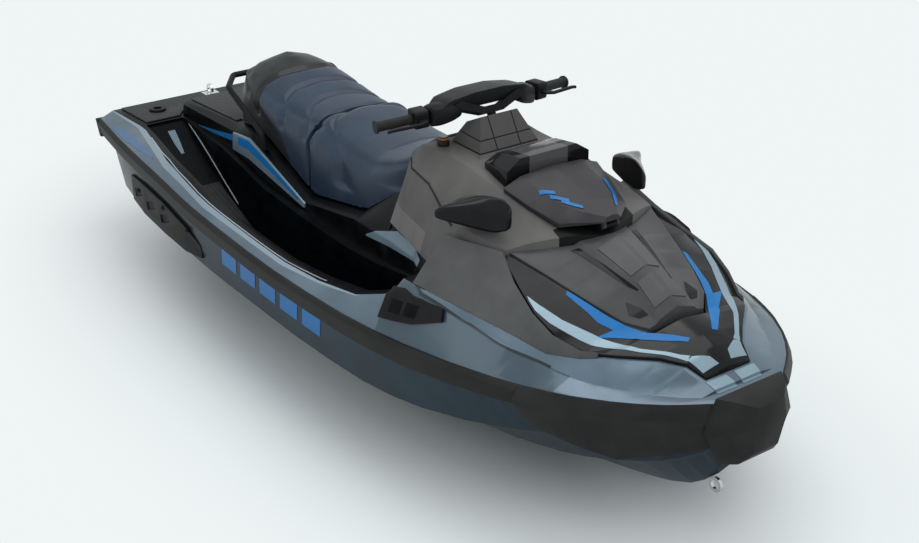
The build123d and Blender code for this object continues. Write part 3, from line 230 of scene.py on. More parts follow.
def laid_strip(name, onto, rows, facing, finish, cuts=8, stand=0.0006, thick=0.0008, body="boat"):
    """A strip cut as rows of two corners (ahead, across), pressed onto a skin along one axis."""
    far = {"top": 1.3, "starboard": -0.9, "port": 0.9}[facing]
    bpy.ops.object.select_all(action="DESELECT")
    bpy.ops.mesh.primitive_plane_add(size=2)
    strip = bpy.context.object
    strip.name = name
    corners = [[Vector((a, b, far)) if facing == "top" else Vector((a, far, b)) for a, b in row]
               for row in rows]
    for index, spot in enumerate((corners[0][0], corners[1][0], corners[0][1], corners[1][1])):
        strip.data.vertices[index].co = spot
    for row in range(2, len(corners)):
        bpy.ops.object.mode_set(mode="EDIT")
        bpy.ops.mesh.select_mode(type="VERT")
        bpy.ops.mesh.select_all(action="DESELECT")
        sheet = bmesh.from_edit_mesh(strip.data)
        for corner in sheet.verts:
            corner.select = min((corner.co - old).length for old in corners[row - 1]) < 1e-6
        sheet.select_flush_mode()
        bpy.ops.mesh.extrude_edges_move()
        sheet = bmesh.from_edit_mesh(strip.data)
        for corner in sheet.verts:
            if corner.select:
                side = 0 if (corner.co - corners[row - 1][0]).length < 1e-6 else 1
                corner.co = corners[row][side]
        bmesh.update_edit_mesh(strip.data)
        bpy.ops.object.mode_set(mode="OBJECT")
    bpy.ops.object.mode_set(mode="EDIT")
    bpy.ops.mesh.select_all(action="SELECT")
    bpy.ops.mesh.subdivide(number_cuts=cuts)
    bpy.ops.object.mode_set(mode="OBJECT")
    press = strip.modifiers.new("press", "SHRINKWRAP")
    press.target = onto
    press.wrap_method = "PROJECT"
    press.use_project_z = facing == "top"
    press.use_project_y = facing != "top"
    press.use_positive_direction = facing == "starboard"
    press.use_negative_direction = facing != "starboard"
    press.offset = stand
    bpy.ops.object.modifier_apply(modifier="press")
    bpy.ops.object.mode_set(mode="EDIT")
    bpy.ops.mesh.select_mode(type="FACE")
    bpy.ops.mesh.select_all(action="SELECT")
    bpy.ops.mesh.normals_make_consistent(inside=False)
    sheet = bmesh.from_edit_mesh(strip.data)
    out = {"top": Vector((0, 0, 1)), "starboard": Vector((0, -1, 0)), "port": Vector((0, 1, 0))}[facing]
    if sum(face.normal.dot(out) for face in sheet.faces) < 0:
        bpy.ops.mesh.flip_normals()
    bpy.ops.object.mode_set(mode="OBJECT")
    body_of = strip.modifiers.new("body", "SOLIDIFY")
    body_of.thickness = thick
    body_of.offset = 1
    bpy.ops.object.modifier_apply(modifier="body")
    bpy.ops.object.shade_smooth_by_angle(angle=math.radians(35))
    strip.data.materials.append(finish)
    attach(strip, body)
    return strip


hull_skin = skin_of("hull", 0.005)
# The hull's gelcoat is the deck's slate painted much darker: painted shade on the hull's sides.
shaded_hull_paint = uncoated("hull_gelcoat", (0.008, 0.016, 0.024), (0.020, 0.038, 0.056), 0.10, 0.10)
hull_skin.data.materials.append(shaded_hull_paint)
blue_vinyl = uncoated("blue_vinyl", (0.004, 0.110, 0.320), (0.006, 0.150, 0.420), 0.0, 0.15)
block_low, block_top = 0.058, 0.158
for name in ("starboard", "port"):
    for number in range(5):
        tail = -0.50 + 0.152 * number
        laid_strip(f"hull_slash_{name}_{number}", hull_skin,
                   [((tail, block_low), (tail + 0.05, block_top)),
                    ((tail + 0.118, block_low), (tail + 0.168, block_top))], name, blue_vinyl)

# Deck: the top moulding in a lighter slate metallic under a thin clear coat, with satin black moulded
# into the footwells, the seat pedestal and the boarding platform. A pale painted highlight edges the
# well. Ahead of the seat the flank below its crease is painted darker as painted shade, and a dark
# painted shade line runs along the crease.
deck_skin = skin_of("deck", 0.008)
# The pale finish is a painted highlight, used along the well's edge and on the wall below it.
painted_edge_highlight = uncoated("painted_edge_highlight", (0.27, 0.30, 0.32), (0.34, 0.37, 0.39), 0.1)
deck_paint, tree, coat, place, paint = gelcoat("deck_gelcoat", (0.060, 0.090, 0.118), (0.125, 0.178, 0.226))
axes = shade_node(tree, "SeparateXYZ", {0: place})
bow_x = 1.72
along = shade_node(tree, "MapRange", {"Value": axes.outputs["X"], "From Min": -bow_x, "From Max": bow_x})
along = along.outputs["Result"]
reach = [(-1.72, 0.43), (-1.44, 0.428), (-1.0, 0.523), (-0.6, 0.549), (0.0, 0.555), (0.45, 0.533),
         (0.60, 0.505), (0.66, 0.34), (0.70, 0.0)]
edge_of_well = colour_stops(tree, along, [((x + bow_x) / (2 * bow_x), (y, y, y)) for x, y in reach])
half = shade_node(tree, "Math", {0: axes.outputs["Y"]}, operation="ABSOLUTE").outputs[0]
crease = [(0.60, 0.440), (0.842, 0.410), (0.968, 0.389), (1.08, 0.362), (1.206, 0.346), (1.269, 0.334),
          (1.357, 0.322), (1.429, 0.314), (1.62, 0.305)]
crease_z = colour_stops(tree, along, [((x + bow_x) / (2 * bow_x), (z, z, z)) for x, z in crease])
over = shade_node(tree, "Math", {0: axes.outputs["Z"], 1: crease_z}, operation="SUBTRACT").outputs[0]
ahead = shade_node(tree, "Math", {0: axes.outputs["X"], 1: 0.62}, operation="GREATER_THAN").outputs[0]
# Ahead of the seat the flank below the crease is painted darker: painted shade of the lower facet.
shade_below_crease = shade_node(tree, "Math", {0: over, 1: 0.0}, operation="LESS_THAN").outputs[0]
shade_below_crease = shade_node(tree, "Math", {0: shade_below_crease, 1: ahead}, operation="MULTIPLY").outputs[0]
before = shade_node(tree, "Math", {0: axes.outputs["X"], 1: 1.30}, operation="LESS_THAN").outputs[0]
shade_below_crease = shade_node(tree, "Math", {0: shade_below_crease, 1: before}, operation="MULTIPLY").outputs[0]
painted_flank_shade = shade_node(tree, "Mix", {0: shade_below_crease, 6: paint, 7: (0.050, 0.077, 0.100, 1)}, data_type="RGBA")
# A thin dark line along the crease is painted shade in the fold between the two facets.
line = shade_node(tree, "Math", {0: over}, operation="ABSOLUTE").outputs[0]
line = shade_node(tree, "Math", {0: line, 1: 0.0032}, operation="LESS_THAN").outputs[0]
line = shade_node(tree, "Math", {0: line, 1: ahead}, operation="MULTIPLY").outputs[0]
short = shade_node(tree, "Math", {0: axes.outputs["X"], 1: 1.24}, operation="LESS_THAN").outputs[0]
line = shade_node(tree, "Math", {0: line, 1: short}, operation="MULTIPLY").outputs[0]
crease_shade_line = shade_node(tree, "Mix", {0: line, 6: painted_flank_shade.outputs[2], 7: (0.018, 0.026, 0.034, 1)},
                   data_type="RGBA")
# A pale band along the well's edge on the gunwale top is a painted highlight.
rim = shade_node(tree, "Math", {0: half, 1: edge_of_well}, operation="SUBTRACT").outputs[0]
pale = shade_node(tree, "Math", {0: rim, 1: 0.026}, operation="LESS_THAN").outputs[0]
behind = shade_node(tree, "Math", {0: 1.0, 1: ahead}, operation="SUBTRACT").outputs[0]
pale = shade_node(tree, "Math", {0: pale, 1: behind}, operation="MULTIPLY").outputs[0]
painted_rim_highlight = shade_node(tree, "Mix", {0: pale, 6: crease_shade_line.outputs[2], 7: (0.225, 0.296, 0.355, 1)},
                    data_type="RGBA")
tree.links.new(painted_rim_highlight.outputs[2], coat.inputs["Base Color"])
coat.inputs["Metallic"].default_value = 0.3
coat.inputs["Specular IOR Level"].default_value = 0.3
coat.inputs["Coat Weight"].default_value = 0.12


def mottled(tree, cloud, surface, low, high, rough):
    """Colour and sheen that drift a little between two values, as they do over any moulding."""
    tone = colour_stops(tree, cloud.outputs["Fac"], [(0.3, low), (0.7, high)])
    tree.links.new(tone, surface.inputs["Base Color"])
    sheen = shade_node(tree, "MapRange", {"Value": cloud.outputs["Fac"], "To Min": rough[0],
                                          "To Max": rough[1]})
    tree.links.new(sheen.outputs["Result"], surface.inputs["Roughness"])


well_black, tree, satin, place = blank_finish("well_black")
cloud = shade_node(tree, "TexNoise", {"Vector": place, "Scale": 14})
mottled(tree, cloud, satin, (0.0008, 0.0012, 0.002), (0.0026, 0.0034, 0.0044), (0.22, 0.34))
satin.inputs["Specular IOR Level"].default_value = 0.05
deck_skin.data.materials.append(deck_paint)
deck_skin.data.materials.append(well_black)


def on_line(x, table):
    for (x0, a0), (x1, a1) in zip(table, table[1:]):
        if x0 <= x <= x1:
            return a0 + (a1 - a0) * (x - x0) / (x1 - x0)
    return table[0][1] if x < table[0][0] else table[-1][1]


def mirrored(rows, y):
    """Rows of corners drawn for port, turned over to starboard where y is -1."""
    return [((a, y * b), (c, y * d)) for (a, b), (c, d) in rows]


for face in deck_skin.data.polygons:
    spot = face.center
    if spot.x < 0.69 and abs(spot.y) < on_line(spot.x, reach) + 0.001 and spot.z > -0.2:
        face.material_index = 1
# Pale strips laid along the well's edge are a painted highlight.
for name, y in (("starboard", -1), ("port", 1)):
    edge = [(x, on_line(x, reach)) for x in (-1.28, -1.1, -0.9, -0.7, -0.5, -0.3, -0.1, 0.1, 0.25)]
    rows = mirrored([((x, e + 0.001), (x, e + 0.006)) for x, e in edge], y)
    laid_strip("well_edge_" + name, deck_skin, rows, "top", painted_edge_highlight, cuts=3)

# Flank trims: slate and blue vinyl film cut to the pedestal wall, the knee, the boarding ramp and the
# aft quarters, and pressed onto the deck.
slate_vinyl = uncoated("slate_vinyl", (0.120, 0.172, 0.215), (0.165, 0.230, 0.280), 0.1, 0.2)
quarter_blue = uncoated("quarter_blue", (0.040, 0.105, 0.220), (0.060, 0.140, 0.270), 0.1)
for name, y in (("starboard", -1), ("port", 1)):
    laid_strip("knee_panel_" + name, deck_skin,
               [((0.100, 0.318), (0.100, 0.324)), ((0.164, 0.326), (0.164, 0.358)),
                ((0.240, 0.336), (0.240, 0.384)), ((0.300, 0.344), (0.300, 0.404)),
                ((0.363, 0.352), (0.363, 0.404)), ((0.446, 0.362), (0.446, 0.402)),
                ((0.530, 0.380), (0.530, 0.402))], name, slate_vinyl)
    laid_strip("pedestal_blue_" + name, deck_skin,
               [((-1.300, 0.315), (-1.300, 0.317)), ((-1.137, 0.326), (-1.137, 0.341)),
                ((-0.965, 0.346), (-0.965, 0.372))], name, blue_vinyl)
    laid_strip("quarter_flash_" + name, deck_skin,
               mirrored([((-1.560, 0.494), (-1.560, 0.520)), ((-1.420, 0.498), (-1.420, 0.534)),
                         ((-1.250, 0.512), (-1.250, 0.538)), ((-1.120, 0.534), (-1.120, 0.540))], y),
               "top", quarter_blue)
    laid_strip("ramp_flash_" + name, deck_skin,
               mirrored([((-1.385, 0.312), (-1.385, 0.345)), ((-1.300, 0.330), (-1.300, 0.358)),
                         ((-1.225, 0.350), (-1.225, 0.364))], y), "top", slate_vinyl)

# Rub rail, bow bumper and sponsons: extruded and moulded black rubber and plastic, fixed over the
# join of hull and deck and to the hull sides aft with socket screws.
def moulded(name, low, high, grain=420, depth=0.16, rough=(0.46, 0.60), gloss=0.12):
    finish, tree, plastic, place = blank_finish(name)
    cloud = shade_node(tree, "TexNoise", {"Vector": place, "Scale": 9, "Detail": 4})
    mottled(tree, cloud, plastic, low, high, rough)
    pebble = shade_node(tree, "TexVoronoi", {"Vector": place, "Scale": grain}, feature="SMOOTH_F1")
    bump = shade_node(tree, "Bump", {"Height": pebble.outputs["Distance"], "Strength": depth,
                                     "Distance": 0.0006})
    tree.links.new(bump.outputs[0], plastic.inputs["Normal"])
    plastic.inputs["Specular IOR Level"].default_value = gloss
    return finish


trim_rubber = moulded("trim_rubber", (0.011, 0.011, 0.011), (0.019, 0.019, 0.019))
for node, edge, fold in (("rub_rail", 0.004, 30), ("bow_bumper", 0.014, 48), ("sponson_port", 0.008, 30),
                         ("sponson_starboard", 0.008, 30)):
    skin_of(node, edge, fold).data.materials.append(trim_rubber)


def socket_screws(name, spots, facing, radius, finish, body="boat"):
    """One socket-head screw turned and pressed, then copied to every spot along one axis."""
    bpy.ops.object.select_all(action="DESELECT")
    bpy.ops.mesh.primitive_cylinder_add(vertices=18, radius=radius, depth=radius)
    head = bpy.context.object
    bpy.ops.object.mode_set(mode="EDIT")
    bpy.ops.mesh.select_mode(type="FACE")
    bpy.ops.mesh.select_all(action="DESELECT")
    for face in bmesh.from_edit_mesh(head.data).faces:
        face.select = face.normal.z > 0.9
    bpy.ops.mesh.inset(thickness=radius * 0.18, depth=radius * 0.12)
    bpy.ops.mesh.inset(thickness=radius * 0.3)
    bpy.ops.mesh.extrude_region_move(TRANSFORM_OT_translate={"value": (0, 0, -radius * 0.6)})
    bpy.ops.object.mode_set(mode="OBJECT")
    bpy.ops.object.shade_smooth_by_angle(angle=math.radians(35))
    turn = Vector((0, 0, 1)).rotation_difference(Vector(facing)).to_matrix().to_4x4()
    copies = []
    for spot in spots:
        copy = bpy.data.objects.new(name, head.data.copy())
        scene.collection.objects.link(copy)
        copy.data.transform(Matrix.Translation(Vector(spot)) @ turn)
        copies.append(copy)
    bpy.data.objects.remove(head)
    on_bench(copies[0])
    for copy in copies:
        copy.select_set(True)
    bpy.ops.object.join()
    row = copies[0]
    row.name = name
    row.data.materials.append(finish)
    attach(row, body)
    return row


def struck(skin, x, z, side):
    """Where a line across the boat at x and z meets a skin from outside."""
    return skin.ray_cast(Vector((x, side * 0.9, z)), Vector((0, -side, 0)))[1]


# Screws hold the sponsons, three along each, black like the rubber they hold; two larger drain
# plugs of the same make close the bilge at the transom.
for side, y in (("port", 1), ("starboard", -1)):
    sponson = bpy.data.objects[f"sponson_{side}_skin"]
    spots = [struck(sponson, x, z, y) for x, z in ((-1.31, 0.085), (-1.00, 0.118), (-0.78, 0.100))]
    socket_screws("sponson_screws_" + side, spots, (0, y, 0), 0.010, trim_rubber)
    socket_screws("drain_plug_" + side, [Vector((-1.602, y * 0.25, 0.02))], (-1, 0, 0), 0.020, trim_rubber)

# Engine and jet drive: a plain block, a cast and machined pump with a stainless impeller, the
# steering nozzle, a moulded reverse bucket and an aluminium ride plate and intake grate.
def cast_metal(name, low, high, rough=(0.3, 0.5), grain=260, depth=0.2):
    finish, tree, metal, place = blank_finish(name)
    cloud = shade_node(tree, "TexNoise", {"Vector": place, "Scale": 22, "Detail": 6})
    mottled(tree, cloud, metal, low, high, rough)
    sand = shade_node(tree, "TexNoise", {"Vector": place, "Scale": grain, "Detail": 3})
    bump = shade_node(tree, "Bump", {"Height": sand.outputs["Fac"], "Strength": depth, "Distance": 0.0008})
    tree.links.new(bump.outputs[0], metal.inputs["Normal"])
    metal.inputs["Metallic"].default_value = 1.0
    return finish


def finish_node(node, finish):
    nodes[node].data.materials.clear()
    nodes[node].data.materials.append(finish)


pump_metal = cast_metal("pump_alloy", (0.40, 0.41, 0.42), (0.56, 0.57, 0.58))
for node in ("jet_pump", "steering_nozzle", "ride_plate", "intake_grate"):
    finish_node(node, pump_metal)
stainless = cast_metal("polished_stainless", (0.52, 0.52, 0.52), (0.68, 0.68, 0.68), (0.12, 0.25), 500, 0.05)
for node in ("impeller", "bow_eye", "tow_eye", "stern_eye_port", "stern_eye_starboard"):
    finish_node(node, stainless)
finish_node("engine", cast_metal("engine_block", (0.10, 0.10, 0.10), (0.18, 0.18, 0.18), (0.5, 0.7)))
satin_black = moulded("satin_black", (0.006, 0.006, 0.007), (0.013, 0.013, 0.014), 520, 0.10,
                      (0.34, 0.46), 0.07)
skin_of("reverse_bucket", 0.003).data.materials.append(satin_black)

# Console: the centre tower with its steering neck, one moulding in grained grey plastic bolted to the
# deck, with black seams and a line of piping down each side.
console_skin = skin_of("console", 0.008)
# The bore for the steering stem is eased by a millimetre and a half, so the turned stem clears its facets
stem_foot = Vector((0.440, 0, 0.795))
stem_tilt = math.radians(25)
stem_line = Vector((-math.sin(stem_tilt), 0, math.cos(stem_tilt)))
for corner in console_skin.data.vertices:
    off = corner.co - stem_foot
    off = off - stem_line * off.dot(stem_line)
    if 0.0140 < off.length < 0.0175:
        corner.co += off.normalized() * 0.0015
console_grey = moulded("console_grey", (0.086, 0.083, 0.081), (0.112, 0.108, 0.105), 380, 0.14)


def zone(tree, checks):
    """One where every axis in checks lies between its low and high value, otherwise nought."""
    inside = None
    for value, low, high in checks:
        for limit, test in ((low, "GREATER_THAN"), (high, "LESS_THAN")):
            step = shade_node(tree, "Math", {0: value, 1: limit}, operation=test).outputs[0]
            inside = step if inside is None else shade_node(
                tree, "Math", {0: inside, 1: step}, operation="MULTIPLY").outputs[0]
    return inside


def repaint(finish, zones):
    """Lays other colours over a finish, each inside its own box of the boat's axes."""
    tree = finish.node_tree
    body = tree.nodes["Principled BSDF"]
    place = shade_node(tree, "TexCoord").outputs["Object"]
    axes = shade_node(tree, "SeparateXYZ", {0: place})
    half = shade_node(tree, "Math", {0: axes.outputs["Y"]}, operation="ABSOLUTE").outputs[0]
    colour = body.inputs["Base Color"].links[0].from_socket
    for tone, x, y, z in zones:
        inside = zone(tree, ((axes.outputs["X"], *x), (half, *y), (axes.outputs["Z"], *z)))
        colour = shade_node(tree, "Mix", {0: inside, 6: colour, 7: (*tone, 1)}, data_type="RGBA").outputs[2]
    tree.links.new(colour, body.inputs["Base Color"])


seam_black = (0.004, 0.004, 0.004)
repaint(console_grey, (((0.142, 0.139, 0.134), (0.0, 0.52), (0.0, 1), (-1, 0.49)),
                       ((0.058, 0.056, 0.056), (0.38, 0.60), (0.0, 1), (0.712, 1)),
                       (seam_black, (0.38, 0.60), (0.0, 1), (0.712, 0.717)),
                       (seam_black, (0.38, 0.60), (0.0, 1), (0.748, 0.752)),
                       (seam_black, (0.38, 0.60), (0.045, 0.050), (0.712, 1)),
                       (seam_black, (0.945, 2), (0.0, 0.15), (-1, 1))))
console_skin.data.materials.append(console_grey)
for side in ("port", "starboard"):
    laid_strip("console_piping_" + side, console_skin,
               [((0.262, 0.632), (0.258, 0.640)), ((0.36, 0.628), (0.36, 0.634)),
                ((0.461, 0.622), (0.461, 0.628)), ((0.56, 0.588), (0.562, 0.594)),
                ((0.66, 0.560), (0.662, 0.566))], side, trim_rubber,
               thick=0.002)

# Key post: a turned black plastic collar with an orange ring and a bright button, screwed into the
# console's starboard shoulder.
bpy.ops.object.select_all(action="DESELECT")
bpy.ops.mesh.primitive_cylinder_add(vertices=32, radius=0.021, depth=0.030, location=(0.375, -0.150, 0.712))
key_post = bpy.context.object
key_post.name = "key_post"
bpy.ops.object.mode_set(mode="EDIT")
bpy.ops.mesh.select_mode(type="FACE")
bpy.ops.mesh.select_all(action="DESELECT")
for face in bmesh.from_edit_mesh(key_post.data).faces:
    face.select = face.normal.z > 0.9
bpy.ops.mesh.inset(thickness=0.006)
bpy.ops.mesh.extrude_region_move(TRANSFORM_OT_translate={"value": (0, 0, 0.010)})
bpy.ops.mesh.inset(thickness=0.003, depth=0.002)
bpy.ops.object.mode_set(mode="OBJECT")
bpy.ops.object.transform_apply(location=True, rotation=True, scale=True)
crown = key_post.modifiers.new("crown", "BEVEL")
crown.width = 0.0015
crown.segments = 2
bpy.ops.object.modifier_apply(modifier="crown")
bpy.ops.object.shade_smooth_by_angle(angle=math.radians(35))
key_finish = moulded("key_black", (0.010, 0.010, 0.010), (0.018, 0.018, 0.018), 500, 0.05, (0.3, 0.4))
repaint(key_finish, (((0.36, 0.10, 0.03), (-2, 2), (0, 2), (0.7275, 0.733)),
                     ((0.42, 0.42, 0.42), (-2, 2), (0, 2), (0.7375, 0.80))))
key_post.data.materials.append(key_finish)
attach(key_post, "boat")

# Shrouds: the side mouldings that flank the hood, grained grey plastic a little darker than the
# console, pushed onto clips over the deck.
shroud_grey = moulded("shroud_grey", (0.066, 0.068, 0.068), (0.090, 0.092, 0.092), 380, 0.14)
for side in ("port", "starboard"):
    skin_of("shroud_" + side, 0.007).data.materials.append(shroud_grey)

# Hood: a gloss black moulding on the bow with a satin charcoal plate let into it, both pushed onto
# clips, and silver and blue vinyl film laid on by hand.
gloss_black = moulded("gloss_black", (0.005, 0.005, 0.006), (0.009, 0.009, 0.010), 90, 0.01,
                      (0.10, 0.18), 0.14)
hood_skin = skin_of("hood", 0.006)
hood_skin.data.materials.append(gloss_black)
plate_skin = skin_of("hood_panel", 0.005)
plate_charcoal = moulded("plate_charcoal", (0.045, 0.045, 0.047), (0.066, 0.066, 0.068), 420, 0.10, (0.30, 0.40))
plate_skin.data.materials.append(plate_charcoal)
scoop_grey = moulded("scoop_grey", (0.064, 0.064, 0.066), (0.084, 0.084, 0.086), 420, 0.10, (0.32, 0.42))
valley_shade = [((1.020, 0.108), (1.012, 0.134)), ((1.10, 0.092), (1.10, 0.112)),
          ((1.18, 0.078), (1.18, 0.092)), ((1.245, 0.066), (1.245, 0.070))]
notch = [((1.252, 0.116), (1.248, 0.120)), ((1.285, 0.094), (1.285, 0.138)),
         ((1.312, 0.086), (1.308, 0.116))]
# The black valley strips are painted shade on the slopes beside the plate's raised centre.
for name, y in (("starboard", -1), ("port", 1)):
    for trim, rows in (("valley_shade", valley_shade), ("notch", notch)):
        laid_strip(f"plate_{trim}_{name}", plate_skin, mirrored(rows, y), "top", gloss_black)
scoops = ([(1.066, 0.074), (1.12, 0.068), (1.20, 0.058)], [(1.226, 0.056), (1.27, 0.060), (1.312, 0.064)])
for number, rows in enumerate(scoops):
    laid_strip(f"plate_scoop_{number}", plate_skin, [((x, -y), (x, y)) for x, y in rows], "top", scoop_grey,
               thick=0.002)
silver_vinyl = uncoated("silver_vinyl", (0.185, 0.262, 0.315), (0.230, 0.320, 0.380), 0.2, 0.25)
silver_rows = [((1.062, 0.341), (1.078, 0.346)), ((1.110, 0.330), (1.116, 0.352)),
               ((1.180, 0.304), (1.166, 0.340)), ((1.256, 0.262), (1.254, 0.300)),
               ((1.325, 0.226), (1.327, 0.258)), ((1.391, 0.189), (1.401, 0.200)),
               ((1.473, 0.110), (1.480, 0.122)), ((1.490, 0.087), (1.500, 0.106))]
bow_flash = [((1.567, 0.016), (1.567, 0.096)), ((1.590, 0.014), (1.590, 0.093)),
             ((1.612, 0.012), (1.611, 0.088))]
bow_quad = [((1.494, 0.084), (1.498, 0.104)), ((1.518, 0.036), (1.524, 0.094)),
            ((1.544, 0.024), (1.546, 0.088))]
blue_arm = [((1.118, 0.234), (1.126, 0.246)), ((1.210, 0.204), (1.207, 0.230)),
            ((1.252, 0.189), (1.246, 0.225)), ((1.300, 0.164), (1.296, 0.200)),
            ((1.352, 0.122), (1.364, 0.158)), ((1.444, 0.044), (1.452, 0.060))]
blue_tail = [((1.279, 0.249), (1.281, 0.251)), ((1.292, 0.196), (1.350, 0.168))]
for name, y in (("starboard", -1), ("port", 1)):
    for trim, onto, rows, finish in (("silver_trim", hood_skin, silver_rows, silver_vinyl),
                                     ("bow_flash", deck_skin, bow_flash, silver_vinyl),
                                     ("bow_quad", hood_skin, bow_quad, silver_vinyl),
                                     ("blue_arm", hood_skin, blue_arm, blue_vinyl),
                                     ("blue_tail", hood_skin, blue_tail, blue_vinyl)):
        laid_strip(f"{trim}_{name}", onto, mirrored(rows, y), "top", finish)

# Storage lid: the front cover of the console, one satin dark grey plastic moulding on a hinge at its
# tip, with blue film dashes.
lid_skin = skin_of("storage_lid", 0.006)
lid_grey = moulded("lid_grey", (0.026, 0.025, 0.028), (0.040, 0.037, 0.042), 420, 0.12, (0.34, 0.44))
lid_skin.data.materials.append(lid_grey)
dashes = ((0.835, -0.120, 0.030), (0.870, -0.105, 0.045), (0.905, -0.088, 0.055))
for number, (x, y, run) in enumerate(dashes):
    laid_strip(f"lid_dash_{number}", lid_skin,
               [((x, y), (x + 0.014, y - 0.006)), ((x + run, y + 0.040), (x + run + 0.014, y + 0.034))],
               "top", blue_vinyl, stand=0.0018, body="storage_lid")
laid_strip("lid_flash", lid_skin,
           [((0.850, 0.128), (0.858, 0.140)), ((0.930, 0.098), (0.938, 0.108)),
            ((1.000, 0.052), (1.004, 0.058))], "top", blue_vinyl, stand=0.0018,
           body="storage_lid")

# Gauge pod and glove lid: a gloss black moulded fairing round a glass screen, and the hinged cover
# behind the bar in the grey of the console.
pod_skin = skin_of("gauge_pod", 0.006)
pod_black = moulded("pod_black", (0.005, 0.005, 0.006), (0.009, 0.009, 0.010), 90, 0.01, (0.12, 0.20), 0.14)
repaint(pod_black, (((0.060, 0.058, 0.060), (0.61, 0.80), (-1, 0.078), (0.70, 1)),))
pod_skin.data.materials.append(pod_black)
bpy.ops.object.select_all(action="DESELECT")
bpy.ops.mesh.primitive_cube_add(size=1, location=(0.6040, 0, 0.7175), scale=(0.0014, 0.144, 0.021))
screen = bpy.context.object
screen.name = "gauge_screen"
bpy.ops.object.transform_apply(location=True, rotation=True, scale=True)
bpy.ops.object.mode_set(mode="EDIT")
bpy.ops.mesh.select_mode(type="FACE")
bpy.ops.mesh.select_all(action="DESELECT")
for face in bmesh.from_edit_mesh(screen.data).faces:
    face.select = face.normal.x < -0.9
bpy.ops.mesh.inset(thickness=0.0022, depth=-0.0005)
bpy.ops.object.mode_set(mode="OBJECT")
bezel = screen.modifiers.new("bezel", "BEVEL")
bezel.width = 0.0003
bezel.segments = 2
bpy.ops.object.modifier_apply(modifier="bezel")
bpy.ops.object.shade_smooth_by_angle(angle=math.radians(35))
screen_glass, tree, pane, place = blank_finish("screen_glass")
smear = shade_node(tree, "TexNoise", {"Vector": place, "Scale": 45})
mottled(tree, smear, pane, (0.004, 0.007, 0.012), (0.008, 0.013, 0.020), (0.05, 0.11))
screen.data.materials.append(screen_glass)
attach(screen, "boat")
glove_skin = skin_of("glove_lid", 0.004)
glove_skin.data.materials.append(console_grey)

# Mirrors: gloss black wing housings moulded round and pushed onto the shoulders beside the storage
# lid, each with a flat silvered glass let into its aft face.
def grown(name, sections, finish, body, rounds=2, sharp=0.0, stands_for=None):
    """A block grown section by section, four corners each, then rounded off as a moulding is."""
    bpy.ops.object.select_all(action="DESELECT")
    bpy.ops.mesh.primitive_cube_add(size=2)
    piece = bpy.context.object
    piece.name = name
    for index in range(8):
        piece.data.vertices[index].co = sections[index // 4][index % 4]
    for last, section in zip(sections[1:], sections[2:]):
        bpy.ops.object.mode_set(mode="EDIT")
        bpy.ops.mesh.select_mode(type="FACE")
        bpy.ops.mesh.select_all(action="DESELECT")
        block = bmesh.from_edit_mesh(piece.data)
        for face in block.faces:
            face.select = all(min((v.co - Vector(c)).length for c in last) < 1e-6 for v in face.verts)
        bpy.ops.mesh.extrude_region_move()
        block = bmesh.from_edit_mesh(piece.data)
        for v in block.verts:
            if v.select:
                v.co = section[min(range(4), key=lambda i: (v.co - Vector(last[i])).length)]
        bmesh.update_edit_mesh(piece.data)
        bpy.ops.object.mode_set(mode="OBJECT")
    bpy.ops.object.mode_set(mode="EDIT")
    bpy.ops.mesh.select_all(action="SELECT")
    bpy.ops.mesh.normals_make_consistent(inside=False)
    bpy.ops.transform.edge_crease(value=sharp)
    bpy.ops.object.mode_set(mode="OBJECT")
    smooth = piece.modifiers.new("round", "SUBSURF")
    smooth.levels = smooth.render_levels = rounds
    bpy.ops.object.modifier_apply(modifier="round")
    bpy.ops.object.shade_smooth_by_angle(angle=math.radians(40))
    piece.data.materials.append(finish)
    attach(piece, body)
    if stands_for:
        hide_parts(stands_for)
    return piece


mirror_sections = [(0.703, 0.296, 0.612, 0.674, 0.430, 0.628, 0.660),
                   (0.735, 0.288, 0.604, 0.690, 0.404, 0.618, 0.668),
                   (0.790, 0.275, 0.598, 0.706, 0.352, 0.602, 0.674),
                   (0.850, 0.264, 0.598, 0.714, 0.310, 0.596, 0.670),
                   (0.890, 0.262, 0.616, 0.690, 0.284, 0.612, 0.656)]
glass_sections = [(x, 0.318, 0.630, 0.656, 0.398, 0.637, 0.652) for x in (0.7015, 0.7075)]


def wing(sections, y):
    return [[Vector((x, y * inner, low)), Vector((x, y * inner, top)), Vector((x, y * outer, out_low)),
             Vector((x, y * outer, out_top))] for x, inner, low, top, outer, out_low, out_top in sections]


glass_silver = cast_metal("mirror_silver", (0.70, 0.72, 0.74), (0.76, 0.78, 0.80), (0.03, 0.05), 60, 0.0)
for side, y in (("port", 1), ("starboard", -1)):
    grown("mirror_housing_" + side, wing(mirror_sections, y), gloss_black, "boat", 3, 0.35,
          "mirror_" + side)
    grown("mirror_glass_" + side, wing(glass_sections, y), glass_silver, "boat", 2, 0.8)

# Well bead: a slim pale strip on the wall between the boarding ramp and the footwell, one each side,
# its pale colour a painted highlight along that edge.
edge_highlight_line = [(-1.380, 0.2500, 0.306), (-1.238, 0.2685, 0.272), (-1.071, 0.2885, 0.216),
             (-0.914, 0.3065, 0.160), (-0.820, 0.3170, 0.126)]
for side, y in (("port", 1), ("starboard", -1)):
    sections = [[Vector((x, y * (wall + out), z + rise)) for out, rise in (
        (-0.002, -0.005), (-0.002, 0.005), (0.003, -0.003), (0.003, 0.003))] for x, wall, z in edge_highlight_line]
    grown("well_highlight_bead_" + side, sections, painted_edge_highlight, "boat", 1, 0.3)

